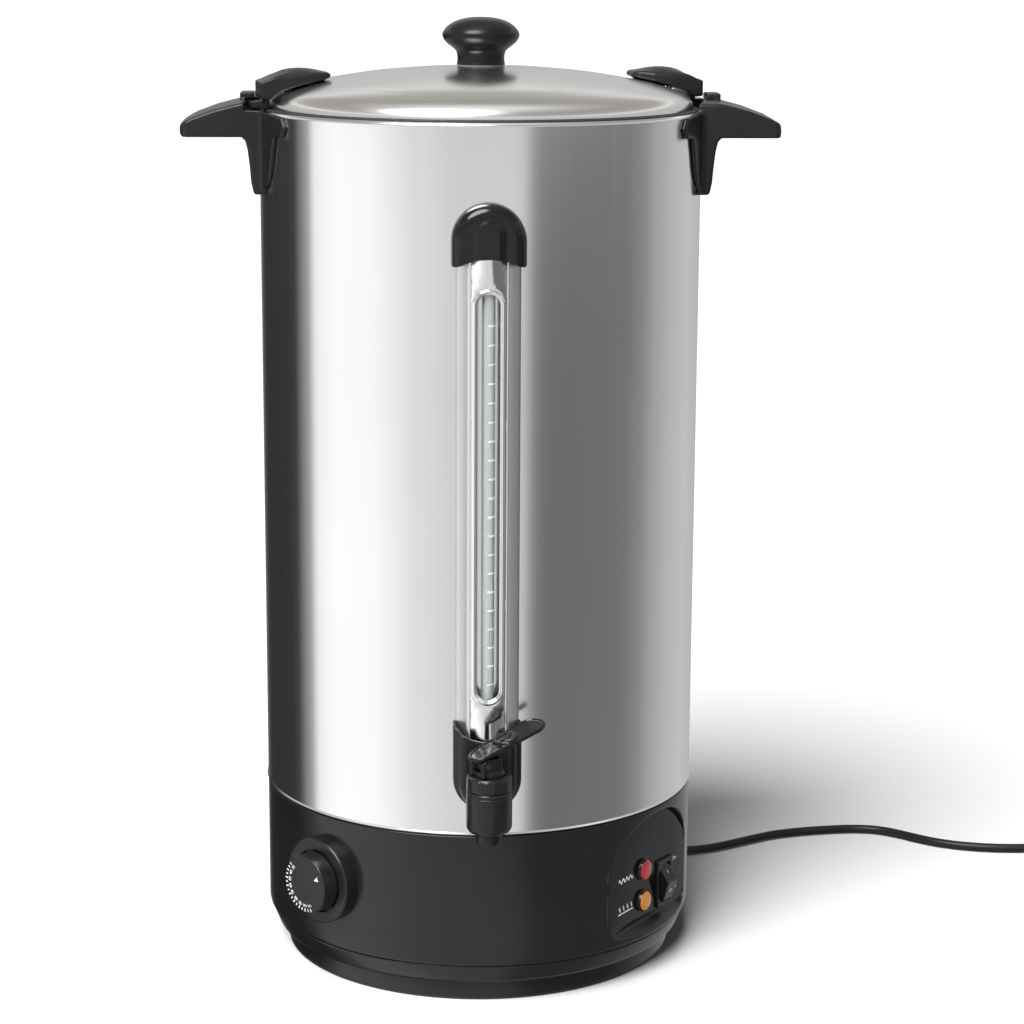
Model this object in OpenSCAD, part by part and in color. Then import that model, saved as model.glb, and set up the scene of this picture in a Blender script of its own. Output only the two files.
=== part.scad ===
// Electric catering urn: single-wall stainless tank on a moulded electrical base,
// twist-lock domed lid, sight gauge, swivelling lever tap, thermostat and switch panel.
// Millimetres. +Z up, origin on the floor under the tank's axis, front of the urn towards -Y.

/* [Tank] */
// Outside diameter of the tank
tank_od = 316; // [312:1:320]
// Thickness of the tank's wall
tank_wall = 1; // [0.8:0.1:1.2]
// Height of the tank's rim above the floor
rim_z = 619.4; // [610:0.2:630]
// Height of the tank's floor above the floor it stands on
floor_z = 131; // [130.6:0.2:134]

/* [Lid] */
// Radius of the lid at its lower edge
lid_r = 152; // [151:0.5:153]
// Angle that the lid turns between the open and the locked place
lock_angle = 9; // [8:0.5:10]

/* [Handles] */
// Distance of a grip's outer edge from the urn's axis
grip_out = 214.6; // [205:0.2:225]
// Half width of a grip
grip_half = 44; // [42:1:48]

/* [Gauge] */
// Distance of the gauge tube's centre from the urn's axis
tube_out = 164.8; // [164.6:0.1:165]
// Outside diameter of the gauge tube
tube_od = 9; // [8.6:0.1:9.2]

/* [Tap] */
// Distance of the tap's vertical axis from the urn's axis
tap_out = 203; // [200:0.5:206]
// Height of the tap's horizontal bore
tap_z = 157; // [155:0.5:158]
// Direction of the tap's lever in plan, from straight sideways towards the tank
lever_turn = 34; // [28:1:38]

/* [Base] */
// Height of the thermostat's shaft
dial_z = 80; // [76:1:84]
// Direction of the thermostat, to the left of straight ahead
dial_az = 46; // [44:1:48]
// Direction of the control panel, to the right of straight ahead
panel_az = 54; // [52:1:56]

/* [Cord] */
// Diameter of the power cord
cord_d = 7; // [6.6:0.1:7.6]

/* [Hidden] */
$fn = 96;
e = 0.02;
tank_r = tank_od / 2;
in_r = tank_r - tank_wall;
black = "#1d1d1f";
gloss = "#0f0f11";
steel = "#c9cbcd";
bright = "#dfe1e3";
silicone = "#b9b9b4";
tick_n = 20;
panel_d = 148.5;
lamp_x = -7.3;
lamp_hi = 78.1;
lamp_lo = 54.4;
rk_x = 23;
rk_z = 60;
plate_t = 2.4;
gland_az = 160;
gland_z = 40;
coil_x = 515;
coil_y = 112;
turn_r = 43;
plug_z = 18.5;

// Route of the cord: the clear stretch from the gland's tip to the coil, then from the coil to the plug.
route_a = [[65, 178.6, 40], [68, 187, 39], [74, 198, 34.5], [84, 207, 26], [98, 211, 16.5], [112, 208, 9.2],
    [124, 200, 5.2], [134, 189, 3.8], [143, 177, 3.5], [153, 167, 3.5], [165, 160, 3.5], [178, 157.5, 3.5],
    [196, 162.5, 3.5], [213, 171, 3.5], [233, 183, 3.5], [255, 195, 3.5], [278, 202, 3.5], [300, 206, 3.5],
    [322, 208, 3.5], [342, 205, 3.5], [359, 195, 3.5], [374, 182, 3.5], [389, 171, 3.5], [406, 163, 3.5],
    [426, 157.5, 3.5], [446, 155.2, 3.5], [468, 155, 3.5], [492, 155, 3.5], [515, 155, 3.5]];
route_b = [[558, 112, 10.5], [558, 102, 11], [558, 92, 12.6], [558, 82, 15.2], [558, 74, 17.3], [558, 66.7, 18.3]];

// ---------- helpers ----------
// Turns a shape made at the front of the urn to the direction az, positive to the right.
module at_az(az) rotate([0, 0, az]) children();
// A cylinder that points out of the front, from distance r1 to r2, at height z and sideways place x.
module radial(r1, r2, z, r, x = 0) translate([x, -r1, z]) rotate([90, 0, 0]) cylinder(h = r2 - r1, r = r);
// A block that points out of the front, centred sideways on x, from distance r1 to r2.
module block(r1, r2, w, z1, z2, x = 0) translate([x - w / 2, -r2, z1]) cube([w, r2 - r1, z2 - z1]);
// An outline drawn as [distance out, height], extruded sideways from x1 to x2.
module side_prism(pts, x1, x2) translate([x1, 0, 0]) rotate([90, 0, 90]) linear_extrude(x2 - x1) polygon([for (p = pts) [-p[0], p[1]]]);
// An outline drawn as [sideways, height], extruded outwards from r1 to r2.
module front_prism(r1, r2) translate([0, -r1, 0]) rotate([90, 0, 0]) linear_extrude(r2 - r1) children();
module ring(ri, ro, z1, z2) translate([0, 0, z1]) difference() {
    cylinder(h = z2 - z1, r = ro);
    translate([0, 0, -1]) cylinder(h = z2 - z1 + 2, r = ri);
}
// A rounded rectangle made of squares and circles.
module round_rect(w, h, r) union() {
    square([w, h - 2 * r], center = true);
    square([w - 2 * r, h], center = true);
    for (x = [-1, 1], y = [-1, 1]) translate([x * (w / 2 - r), y * (h / 2 - r)]) circle(r, $fn = 32);
}
// An upright slot outline with round ends, from height z1 to z2.
module stadium(w, z1, z2) union() {
    translate([-w / 2, z1 + w / 2]) square([w, z2 - z1 - w]);
    translate([0, z1 + w / 2]) circle(w / 2, $fn = 48);
    translate([0, z2 - w / 2]) circle(w / 2, $fn = 48);
}
// Tube swept along points: rings square to the path, n sides.
function unit(v) = v / norm(v);
function tangent(p, i) = unit(p[min(i + 1, len(p) - 1)] - p[max(i - 1, 0)]);
function side_of(t) = abs(t[2]) > 0.95 ? [1, 0, 0] : unit(cross([0, 0, 1], t));
function ring_at(c, t, r, n) = let (s = side_of(t), u = cross(t, s)) [for (k = [0:n - 1]) c + r * (cos(360 * k / n) * s + sin(360 * k / n) * u)];
module sweep(p, r, n) {
    m = len(p);
    pts = [for (i = [0:m - 1]) each ring_at(p[i], tangent(p, i), r, n)];
    faces = concat([[for (k = [0:n - 1]) k]], [[for (k = [n - 1:-1:0]) (m - 1) * n + k]],
        [for (i = [0:m - 2], k = [0:n - 1]) [i * n + k, (i + 1) * n + k, (i + 1) * n + (k + 1) % n, i * n + (k + 1) % n]]);
    polyhedron(points = pts, faces = faces, convexity = 6);
}

// ---------- tank ----------
module tank() color(steel) difference() {
    union() {
        // drawn wall with the rim rolled inwards
        rotate_extrude($fn = 160) polygon([[in_r, 127.6], [tank_r, 127.6], [tank_r, rim_z - 1.8], [tank_r - 0.8, rim_z - 0.5], [tank_r - 2, rim_z],
            [150, rim_z], [150, rim_z - 1], [tank_r - 2.4, rim_z - 1], [in_r, rim_z - 2.4]]);
        translate([0, 0, floor_z]) cylinder(h = 1.2, r = in_r + 0.3, $fn = 160);
    }
    radial(in_r - 4, tank_r + 3, tap_z, 10.6);
    radial(in_r - 4, tank_r + 3, 188, 4.5);
    for (s = [-90, 90], z = [576, 606]) at_az(s) radial(in_r - 4, tank_r + 3, z, 2.7);
}

// ---------- side handles: built at the front, open side of the lock towards +X ----------
module handle() difference() {
    union() {
        // grip and leg
        intersection() {
            side_prism([[150, 561.5], [159.6, 561.5], [160.9, 563], [162.4, 570], [163.4, 582], [164.7, 593], [166.2, 599], [168.6, 601.4],
                [211.5, 601.4], [214, 602.6], [grip_out, 604.5], [grip_out, 607.4], [210.5, 612], [203, 616.3], [189, 621.5], [175, 625.2], [166.5, 627], [150, 627]], -grip_half, grip_half);
            translate([0, -(grip_out + 140) / 2, 540]) linear_extrude(120) round_rect(2 * grip_half, grip_out - 140, 8);
            translate([0, 0, 540]) cylinder(h = 120, r = grip_out, $fn = 160);
        }
        // bridge over the lug's foot
        block(161, 171, 24.5, 624, 631);
        // saddle that hugs the tank
        intersection() {
            ring(tank_r + 0.1, tank_r + 2.8, 550, 619);
            front_prism(120, 175) union() {
                polygon([[-38, 563.4], [-26, 561.6], [26, 561.6], [38, 563.4], [50, 567.5], [58, 575], [61.5, 583], [64, 592], [67.6, 604], [-67.6, 604], [-64, 592], [-61.5, 583], [-58, 575], [-50, 567.5]]);
                translate([0, 610.3]) round_rect(164, 17.4, 8.6);
            }
        }
    }
    // the shell's own space, with the rim's space above it
    translate([0, 0, 500]) cylinder(h = 300, r = tank_r + 0.1, $fn = 160);
    // groove for the lug's foot: open above in front of the bridge, roofed under it
    block(150, 166.8, 60, rim_z + 0.6, 640, 42.5);
    block(150, 166.8, 25, rim_z + 0.6, 626.3);
    // screw holes
    radial(150, 169, 606, 2.5);
    radial(150, 161.8, 576, 2.5);
}
module handle_left() color(black) at_az(-90) handle();
module handle_right() color(black) at_az(90) handle();
module handle_screws() color(steel) for (s = [-90, 90]) at_az(s) {
    radial(153, 155.5, 606, 4.5); radial(155.5, 168.5, 606, 2.45);
    radial(153, 155.5, 576, 4.5); radial(155.5, 161.4, 576, 2.45);
}
module handle_washers() color(silicone) for (s = [-90, 90], z = [576, 606]) at_az(s) difference() {
    radial(155.5, 156.85, z, 5.8);
    radial(150, 160, z, 2.46);
}

// ---------- sight gauge ----------
module guard_section(o) polygon([[-22 + o, -157], [-20.5 + o, -160], [-14.5 + o * 0.9, -171], [-12.5 + o * 0.8, -172.4 + o], [12.5 - o * 0.8, -172.4 + o], [14.5 - o * 0.9, -171], [20.5 - o, -160], [22 - o, -157]]);
module gauge_guard() color(bright) difference() {
    union() {
        translate([0, 0, 172]) linear_extrude(372) guard_section(0);
        // raised bead round the window
        front_prism(172, 173.3) stadium(22.4, 225.3, 511.4);
    }
    translate([0, 0, 171]) linear_extrude(374) guard_section(1.2);
    translate([0, 0, 160]) cylinder(h = 400, r = tank_r + 0.2, $fn = 160);
    front_prism(165, 176) stadium(15, 229, 507.7);
}
module gauge_tube() color("#dfe8ea") translate([0, -tube_out, 192.5]) difference() {
    cylinder(h = 341, r = tube_od / 2, $fn = 48);
    translate([0, 0, -1]) cylinder(h = 343, r = 3.3, $fn = 48);
}
module cap_outline(w, top, low) union() {
    intersection() { translate([0, top - w]) circle(w); translate([-w - 1, top - w - 2]) square([2 * w + 2, w + 4]); }
    translate([-w, low]) square([2 * w, top - w - low]);
}
module gauge_top_cap() color(black) difference() {
    union() {
        front_prism(150, 169) cap_outline(25.2, 567.5, 524.6);
        front_prism(150, 173) cap_outline(21.5, 563.5, 524.6);
        front_prism(150, 176.4) cap_outline(9, 556, 524.6);
    }
    // the lower edge rises in an arc towards the middle
    front_prism(140, 190) translate([0, 489]) circle(42, $fn = 160);
    translate([0, 0, 400]) cylinder(h = 200, r = tank_r + 0.1, $fn = 160);
    // pocket for the guard and the tube
    translate([0, 0, 500]) linear_extrude(44.2) guard_section(-0.15);
}
module gauge_bush() color(silicone) translate([0, -tube_out, 533.6]) difference() {
    cylinder(h = 8, r = 6.1, $fn = 48);
    translate([0, 0, -1]) cylinder(h = 10, r = 3.3, $fn = 48);
}
module gauge_shield() color(black) difference() {
    union() {
        front_prism(150, 170) union() {
            translate([-23.6, 172]) square([47.2, 41.4]);
            translate([0, 172]) circle(23.6);
        }
        front_prism(150, 176) union() {
            translate([-19.5, 170]) square([39, 41]);
            translate([0, 170]) circle(19.5);
        }
    }
    // scooped upper edge
    translate([0, -140, 229]) rotate([90, 0, 0]) cylinder(h = 60, r = 29);
    translate([0, 0, 100]) cylinder(h = 200, r = tank_r + 0.1, $fn = 160);
    // hollow behind
    front_prism(140, 173.4) union() {
        translate([-17, 175]) square([34, 60]);
        translate([0, 175]) circle(17);
    }
    translate([0, 0, 171.8]) linear_extrude(60) guard_section(-0.15);
    radial(150, 190, tap_z, 10.5);
    // pocket over the tap's flange
    radial(150, 166.4, tap_z, 14.4);
}
module gauge_foot() color(bright) difference() {
    union() {
        block(tank_r + 0.25, 170.6, 15, 179, 202);
        radial(144, tank_r + 0.3, 188, 4.35);
    }
    translate([0, -tube_out, 190]) cylinder(h = 20, r = tube_od / 2 + 0.05, $fn = 48);
    translate([0, -tube_out, 184]) cylinder(h = 10, r = 2.6, $fn = 32);
    radial(140, tube_out, 188, 2);
}
module gauge_foot_nut() color(steel) difference() {
    translate([0, -149, 188]) rotate([90, 30, 0]) cylinder(h = 5.2, r = 7.6, $fn = 6);
    radial(140, 160, 188, 4.4);
}
module gauge_seals() color("#a33a2c") {
    difference() { radial(154.3, 156.8, 188, 7.2); radial(150, 160, 188, 4.4); }
    translate([0, -tube_out, 202.1]) difference() { cylinder(h = 2.4, r = 6.1, $fn = 48); translate([0, 0, -1]) cylinder(h = 5, r = tube_od / 2 + 0.02, $fn = 48); }
}

// ---------- tap: vertical barrel on a horizontal shank ----------
module tap_axis() translate([0, -tap_out, 0]) children();
module tap_body() color(black) difference() {
    union() {
        radial(132, tap_out, tap_z, 10.2);
        radial(160.2, 166, tap_z, 14);
        tap_axis() {
            translate([0, 0, 146.6]) cylinder(h = 29, r = 15.7);
            translate([0, 0, 175.5]) cylinder(h = 2.5, r = 12.9);
            translate([0, 0, 138]) cylinder(h = 9, r = 9.2);
        }
    }
    tap_axis() {
        translate([0, 0, 151]) cylinder(h = 40, r = 10);
        translate([0, 0, 140]) cylinder(h = 12, r = 5);
        translate([0, 0, 130]) cylinder(h = 14, r = 6.5);
    }
    radial(120, tap_out - 5, tap_z, 5.6);
}
module tap_gasket() color(silicone) difference() { radial(tank_r + 0.25, 160.2, tap_z, 14); radial(150, 170, tap_z, 10.3); translate([0, 0, 100]) cylinder(h = 100, r = tank_r + 0.1, $fn = 160); }
module tap_back_nut() color(steel) difference() {
    union() {
        translate([0, -144.5, tap_z]) rotate([90, 0, 0]) cylinder(h = 7.5, r = 16.5, $fn = 6);
        radial(152, 154.6, tap_z, 17);
    }
    radial(120, 170, tap_z, 10.3);
}
module tap_bonnet_nut() color(black) tap_axis() difference() {
    union() {
        translate([0, 0, 175.7]) cylinder(h = 10.3, r = 15.5);
        for (a = [0:20:359]) rotate([0, 0, a]) translate([15.2, 0, 176.9]) cylinder(h = 7.9, r = 0.8, $fn = 16);
    }
    translate([0, 0, 169]) cylinder(h = 14.9, r = 13);
    translate([0, 0, 180]) cylinder(h = 10, r = 10.4);
}
// The lever's direction is +X in its own frame.
module lever_frame() translate([0, -tap_out, 0]) rotate([0, 0, lever_turn]) children();
pin_u = -6.5;
pin_z = 194.8;
module cross_bar(r, l) translate([pin_u, l / 2, pin_z]) rotate([90, 0, 0]) cylinder(h = l, r = r, $fn = 48);
module tap_turret() color(black) lever_frame() difference() {
    union() {
        translate([0, 0, 178.3]) cylinder(h = 5.4, r = 12.9);
        translate([0, 0, 178.3]) cylinder(h = 11.3, r = 10.3);
        // two cheeks that hold the lever's pin
        for (s = [-1, 1]) {
            translate([pin_u, s > 0 ? 4.6 : -8, 186.4]) cube([12, 3.4, 12.4]);
            translate([pin_u - 4.5, s > 0 ? 4.6 : -8, 186.4]) cube([6, 3.4, 8.4]);
            translate([pin_u, s > 0 ? 8 : -4.6, pin_z]) rotate([90, 0, 0]) cylinder(h = 3.4, r = 4.5);
        }
    }
    translate([0, 0, 170]) cylinder(h = 30, r = 3.06);
    cross_bar(2, 40);
}
module lever_pin() color(bright) lever_frame() cross_bar(1.97, 15.8);
module lever_plan() union() {
    // paddle end, tail end and the straight sides between them
    translate([35, 0]) circle(11);
    translate([-7.5, 0]) circle(9);
    polygon([[-7.92, 8.99], [34.48, 10.99], [34.48, -10.99], [-7.92, -8.99]]);
}
module tap_lever() color(gloss) lever_frame() difference() {
    union() {
        translate([0, 0, 205]) rotate([0, -16.5, 0]) {
            translate([0, 0, -3.2]) linear_extrude(3.2) lever_plan();
            translate([14, 0, -0.5]) cylinder(h = 1.9, r = 8.8);
        }
        // web between the cheeks
        translate([pin_u, -4.4, 192.6]) cube([12.5, 8.8, 8.8]);
        cross_bar(4.5, 8.8);
    }
    cross_bar(2.03, 40);
    // pocket for the stem's head and slots for its cross bar
    translate([-3.4, -3.2, 185]) cube([7.2, 6.4, 14.4]);
    translate([-1.3, -6, pin_z - 1.6]) cube([3.3, 12, 2.95]);
}
module tap_stem() color(steel) tap_axis() {
    translate([0, 0, 152.4]) cylinder(h = 35.8, r = 3, $fn = 48);
    translate([0, 0, 188]) cylinder(h = 8.6, r = 2, $fn = 48);
    rotate([0, 0, lever_turn]) translate([0, 4.2, pin_z]) rotate([90, 0, 0]) cylinder(h = 8.4, r = 1.1, $fn = 32);
    translate([0, 0, 156.2]) cylinder(h = 1.8, r = 8, $fn = 48);
}
module seat_cup() color(silicone) tap_axis() difference() {
    translate([0, 0, 151]) cylinder(h = 5.2, r = 8.2, $fn = 48);
    translate([0, 0, 152.4]) cylinder(h = 6, r = 3, $fn = 48);
}
module tap_spring() color(steel) tap_axis() translate([0, 0, 158]) for (i = [0:4]) translate([0, 0, 0.75 + i * 4.6]) rotate_extrude($fn = 48) translate([6.2, 0]) circle(0.75, $fn = 16);

// ---------- lid ----------
lid_out = [[0, 649.7], [15, 649.6], [30, 649.1], [45, 648.3], [60, 647.1], [73, 645.9], [85, 644.4], [100, 642], [112, 639.9], [125, 637.2],
    [137, 634.4], [144, 632], [148.5, 629.3], [151, 626], [lid_r, 622.6], [lid_r, 620.6]];
lid_in = [[148.5, 620.6], [148.5, 609], [147.5, 609], [147.5, 621.6], [151, 621.6], [151, 622.7], [150, 625.6], [147.7, 628.6], [143.4, 631.1], [136.7, 633.4], [124.8, 636.2],
    [112, 638.9], [100, 641], [85, 643.4], [73, 644.9], [60, 646.1], [45, 647.3], [30, 648.1], [15, 648.6], [0, 648.7]];
module lid_seal() color("#3a3a38") rotate_extrude($fn = 160) polygon([[149, rim_z], [155.4, rim_z], [155.4, rim_z + 0.7], [154.6, 620.6], [149, 620.6]]);
module lid_dome() color(bright) difference() {
    rotate_extrude($fn = 160) polygon(concat(lid_out, lid_in));
    translate([0, 0, 600]) cylinder(h = 80, r = 2.7, $fn = 32);
    for (s = [-90, 90], d = [120, 139]) at_az(s + lock_angle) translate([0, -d, 600]) cylinder(h = 60, r = 2.1, $fn = 32);
}
module lid_knob() color(black) difference() {
    rotate_extrude() polygon([[0, 683.9], [6, 683.6], [12, 682.7], [18, 680.8], [23, 677.9], [26.4, 674.4], [27.6, 671.6], [27, 669], [24.6, 665.7],
        [21, 662.7], [18.2, 660.6], [17, 658.4], [16.6, 655.4], [16.8, 652.4], [17.3, 650.3], [0, 650.3]]);
    translate([0, 0, 640]) cylinder(h = 24, r = 2.55, $fn = 32);
}
module knob_washer() color(silicone) ring(2.9, 16, 649.72, 650.3);
module knob_screw() color(steel) {
    translate([0, 0, 645.6]) cylinder(h = 3, r = 5.5, $fn = 32);
    translate([0, 0, 645.6]) cylinder(h = 17, r = 2.5, $fn = 32);
}
// Lug built at the front: a crowned wing on the lid, a neck down past its edge and a foot that points out.
module lug() difference() {
    union() {
        intersection() {
            side_prism([[109.4, 642.2], [109, 644.4], [111, 645.8], [120.6, 647.4], [130.4, 648.2], [140.9, 646.6], [148.9, 643.4], [154.7, 640.5], [159, 639.4], [159.7, 638.6], [159.7, 628.2],
                [152.8, 627.4], [149.6, 630.3], [144.6, 632.9], [137.4, 635.2], [125.4, 638.2], [112.4, 641.1]], -19, 19);
            // plan: narrower at the tip
            translate([0, 0, 600]) linear_extrude(60) polygon([[-19, -160], [19, -160], [19, -136], [17.5, -124], [13.5, -113], [9, -108], [-9, -108], [-13.5, -113], [-17.5, -124], [-19, -136]]);
            // crown across
            radial(100, 170, 608.2, 40);
        }
        block(152.9, 155.6, 22, 620.8, 629);
        block(155.4, 165.5, 22, 620.8, 625.6);
    }
    for (d = [120, 139]) translate([0, -d, 630]) cylinder(h = 14, r = 1.95, $fn = 32);
}
module lid_lug_left() color(black) at_az(-90 + lock_angle) lug();
module lid_lug_right() color(black) at_az(90 + lock_angle) lug();
module lug_screws() color(steel) for (s = [-90, 90]) at_az(s + lock_angle) {
    translate([0, -120, 633.8]) cylinder(h = 2.2, r = 3.8, $fn = 32); translate([0, -120, 634]) cylinder(h = 9.6, r = 1.93, $fn = 32);
    translate([0, -139, 628.9]) cylinder(h = 2.2, r = 3.8, $fn = 32); translate([0, -139, 629]) cylinder(h = 12, r = 1.93, $fn = 32);
}

// ---------- base ----------
panel_half = 54;
module arch(g) union() {
    // panel outline: arched top, rounded lower corners
    intersection() {
        translate([0, 80]) scale([1, 0.78]) circle(panel_half - g);
        translate([-100, 79]) square([200, 100]);
    }
    translate([0, 62.5]) round_rect(2 * (panel_half - g), 51 - 2 * g, 12);
    translate([-(panel_half - g), 60]) square([2 * (panel_half - g), 21]);
}
module base_housing() color(black) difference() {
    union() {
        rotate_extrude($fn = 160) polygon([[154.9, 31.6], [151.5, 31], [151.5, 29.3], [154, 29.3], [156.2, 29.8], [157.4, 31.2], [157.9, 33.2], [157.9, 125.9], [157.4, 126.4], [156.6, 126.5],
            [156.6, 130.4], [152.5, 130.4], [152.5, 124], [154.9, 122]]);
        // flat wall behind the control panel
        intersection() {
            at_az(panel_az) front_prism(panel_d - plate_t - 3, 170) arch(-3);
            translate([0, 0, 29.3]) cylinder(h = 95, r = 156.9, $fn = 160);
        }
        // boss behind the thermostat
        at_az(-dial_az) intersection() { radial(149, 170, dial_z, 17); cylinder(h = 200, r = 157, $fn = 160); }
        // screw bosses
        for (a = [30, 120, 210, 300]) at_az(a) translate([0, -134, 8.7]) cylinder(h = 66, r = 5, $fn = 32);
        for (a = [30, 120, 210, 300]) at_az(a) translate([-1.5, -156, 40]) cube([3, 19, 34]);
    }
    at_az(panel_az) front_prism(panel_d - plate_t, 175) arch(0);
    // lamp and switch openings
    at_az(panel_az) { radial(135, 170, lamp_hi, 6.2, lamp_x); radial(135, 170, lamp_lo, 6.2, lamp_x); block(135, 170, 18, rk_z - 16.2, rk_z + 16.2, rk_x); }
    at_az(-dial_az) radial(130, 170, dial_z, 5.05);
    at_az(gland_az) radial(140, 170, gland_z, 6.1);
    for (a = [30, 120, 210, 300]) at_az(a) translate([0, -134, 5]) cylinder(h = 24, r = 1.97, $fn = 32);
}
module base_bottom() color(black) difference() {
    rotate_extrude($fn = 160) polygon([[0, 6], [137.9, 6], [137.9, 1.6], [143.9, 1.6], [143.9, 15.4], [150.4, 15.8], [151.4, 16.7], [156, 28], [156, 29.2], [152, 29.2],
        [152, 27.5], [148, 18.5], [140.9, 18.2], [140.9, 8.5], [0, 8.5]]);
    for (a = [30, 120, 210, 300]) at_az(a) translate([0, -134, 0]) cylinder(h = 12, r = 2.3, $fn = 32);
    // vent slots
    for (x = [-4:4]) translate([x * 11 - 2, -45, 0]) cube([4, 90, 12]);
}
module foot_ring() color("#2a2a2a") difference() { ring(138.2, 143.4, 0, 1.6); }
module base_screws() color(steel) for (a = [30, 120, 210, 300]) at_az(a) translate([0, -134, 0]) {
    translate([0, 0, 3.4]) cylinder(h = 2.6, r = 3.7, $fn = 32);
    translate([0, 0, 4]) cylinder(h = 14, r = 1.95, $fn = 32);
}
module control_panel() color(gloss) at_az(panel_az) difference() {
    front_prism(panel_d - plate_t, panel_d) arch(0.2);
    radial(135, 170, lamp_hi, 6.2, lamp_x);
    radial(135, 170, lamp_lo, 6.2, lamp_x);
    block(135, 170, 18, rk_z - 16.2, rk_z + 16.2, rk_x);
}
module lamp(z, c) color(c) at_az(panel_az) {
    radial(144, panel_d, z, 6.15, lamp_x);
    translate([lamp_x, -panel_d, z]) rotate([90, 0, 0]) cylinder(h = 2.2, r = 8.2);
    translate([lamp_x, -panel_d - 2.2, z]) rotate([90, 0, 0]) cylinder(h = 2.6, r1 = 7.6, r2 = 5.4);
}
module red_lamp() lamp(lamp_hi, "#b5131f");
module amber_lamp() lamp(lamp_lo, "#d98a16");
module lamp_holders() color("#e8e4da") at_az(panel_az) for (z = [lamp_hi, lamp_lo]) radial(122, 143.9, z, 5.6, lamp_x);
module switch_frame() color(gloss) at_az(panel_az) difference() {
    union() {
        block(panel_d, panel_d + 2, 21, rk_z - 18, rk_z + 18, rk_x);
        block(panel_d - 7, panel_d + 0.5, 17.6, rk_z - 16, rk_z + 16, rk_x);
    }
    block(130, panel_d + 5, 14, rk_z - 14.4, rk_z + 14.4, rk_x);
    translate([rk_x - 8.3, -(panel_d - 1), rk_z]) rotate([0, 90, 0]) cylinder(h = 16.6, r = 1.56, $fn = 32);
}
// Rocker with a roof-shaped face, pressed in at the top. It turns about a sideways axis.
module switch_rocker() color(gloss) at_az(panel_az) translate([rk_x, -(panel_d - 1), rk_z]) rotate([-10, 0, 0]) {
    side_prism([[-4, -9], [-4, 9], [1.5, 13.4], [3.2, 13.4], [9.4, 1], [10, 0], [9.4, -1], [3.2, -13.4], [1.5, -13.4]], -6.7, 6.7);
    // pivot pins
    translate([-8.1, 0, 0]) rotate([0, 90, 0]) cylinder(h = 16.2, r = 1.5, $fn = 32);
}
module switch_body() color("#202022") at_az(panel_az) block(118, 141.4, 17, rk_z - 15, rk_z + 15, rk_x);

// ---------- thermostat ----------
module thermostat_bezel() color(gloss) at_az(-dial_az) difference() {
    union() { radial(145, 166.2, dial_z, 31); }
    rotate([0, 0, 0]) translate([0, 0, 20]) cylinder(h = 120, r = 158, $fn = 160);
    radial(130, 170, dial_z, 3.4);
    translate([0, -164.6, dial_z]) rotate([90, 0, 0]) cylinder(h = 4, r = 22.5);
}
module thermostat_knob() color(gloss) at_az(-dial_az) difference() {
    union() {
        radial(165, 168.4, dial_z, 21.6);
        translate([0, -168.4, dial_z]) rotate([90, 0, 0]) cylinder(h = 9.4, r1 = 20.8, r2 = 20);
    }
    radial(160, 175.6, dial_z, 3);
}
module thermostat_shaft() color(steel) at_az(-dial_az) radial(146.2, 175.4, dial_z, 2.96);
module thermostat_body() color("#c8c3b4") at_az(-dial_az) difference() {
    union() { block(112, 146, 34, dial_z - 17, dial_z + 17); radial(145.9, 153, dial_z, 5); }
    radial(146, 160, dial_z, 3.03);
}
module thermostat_bulb() color("#b87333") {
    translate([-60, -30, 120.6]) rotate([0, 90, 30]) cylinder(h = 48, r = 3.2, $fn = 32);
    sweep([[-59, -29.4, 120.6], [-66, -34, 119.5], [-72, -40, 114], [-76, -48, 106], [-80, -58, 98], [-81.6, -67.6, 90], [-81.4, -74.8, 84]], 1.2, 8);
}

// ---------- heater and wiring inside the base ----------
module heating_plate() color("#9a9c9e") difference() { translate([0, 0, 124.4]) cylinder(h = floor_z - 124.4, r = 108); translate([0, 0, 120]) cylinder(h = 8, r = 9, $fn = 32); }
module heating_element() color("#8a8a86") {
    difference() {
        translate([0, 0, 120]) rotate_extrude() translate([88, 0]) circle(4.2, $fn = 32);
        translate([-12, 70, 110]) cube([24, 40, 20]);
    }
    for (s = [-1, 1]) translate([s * 14, 86.6, 98]) cylinder(h = 22, r = 3.6, $fn = 32);
}
module thermal_cutout() color("#d8d4c8") translate([0, 0, 112]) { cylinder(h = 15.9, r = 8, $fn = 48); translate([-12, -3, 0]) cube([24, 6, 4]); }
module terminal_block() color("#e8e6df") translate([30, 84, 8.6]) difference() {
    cube([44, 20, 20]);
    for (i = [0:2]) translate([8 + i * 14, 10, 8]) cylinder(h = 14, r = 3.6, $fn = 32);
}
module wiring() color("#7a4a2a") {
    sweep([[38, 94, 20], [37, 94, 34], [33, 93.5, 52], [28, 93, 70], [20, 90, 86], [15, 87.5, 97.5]], 1.5, 8);
    sweep([[52, 94, 20], [53, 93, 32], [54, 88, 46], [40, 80, 64], [10, 74, 78], [-8, 80, 88], [-13.5, 86, 97.5]], 1.5, 8);
    sweep([[66, 94, 20], [67, 91, 32], [76, 70, 44], [92, 30, 54], [106, -10, 59], [114.2, -43.5, 60]], 1.5, 8);
    sweep([[60, 81.6, 20], [50, 62, 20], [30, 30, 22], [0, -10, 26], [-40, -50, 44], [-66, -72, 60], [-78, -79.6, 68]], 1.5, 8);
    sweep([[51.1, 140.5, 40], [49, 132, 38.5], [47, 120, 33.5], [47, 113, 29], [47.2, 107, 25.5]], 3.2, 8);
}

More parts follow.
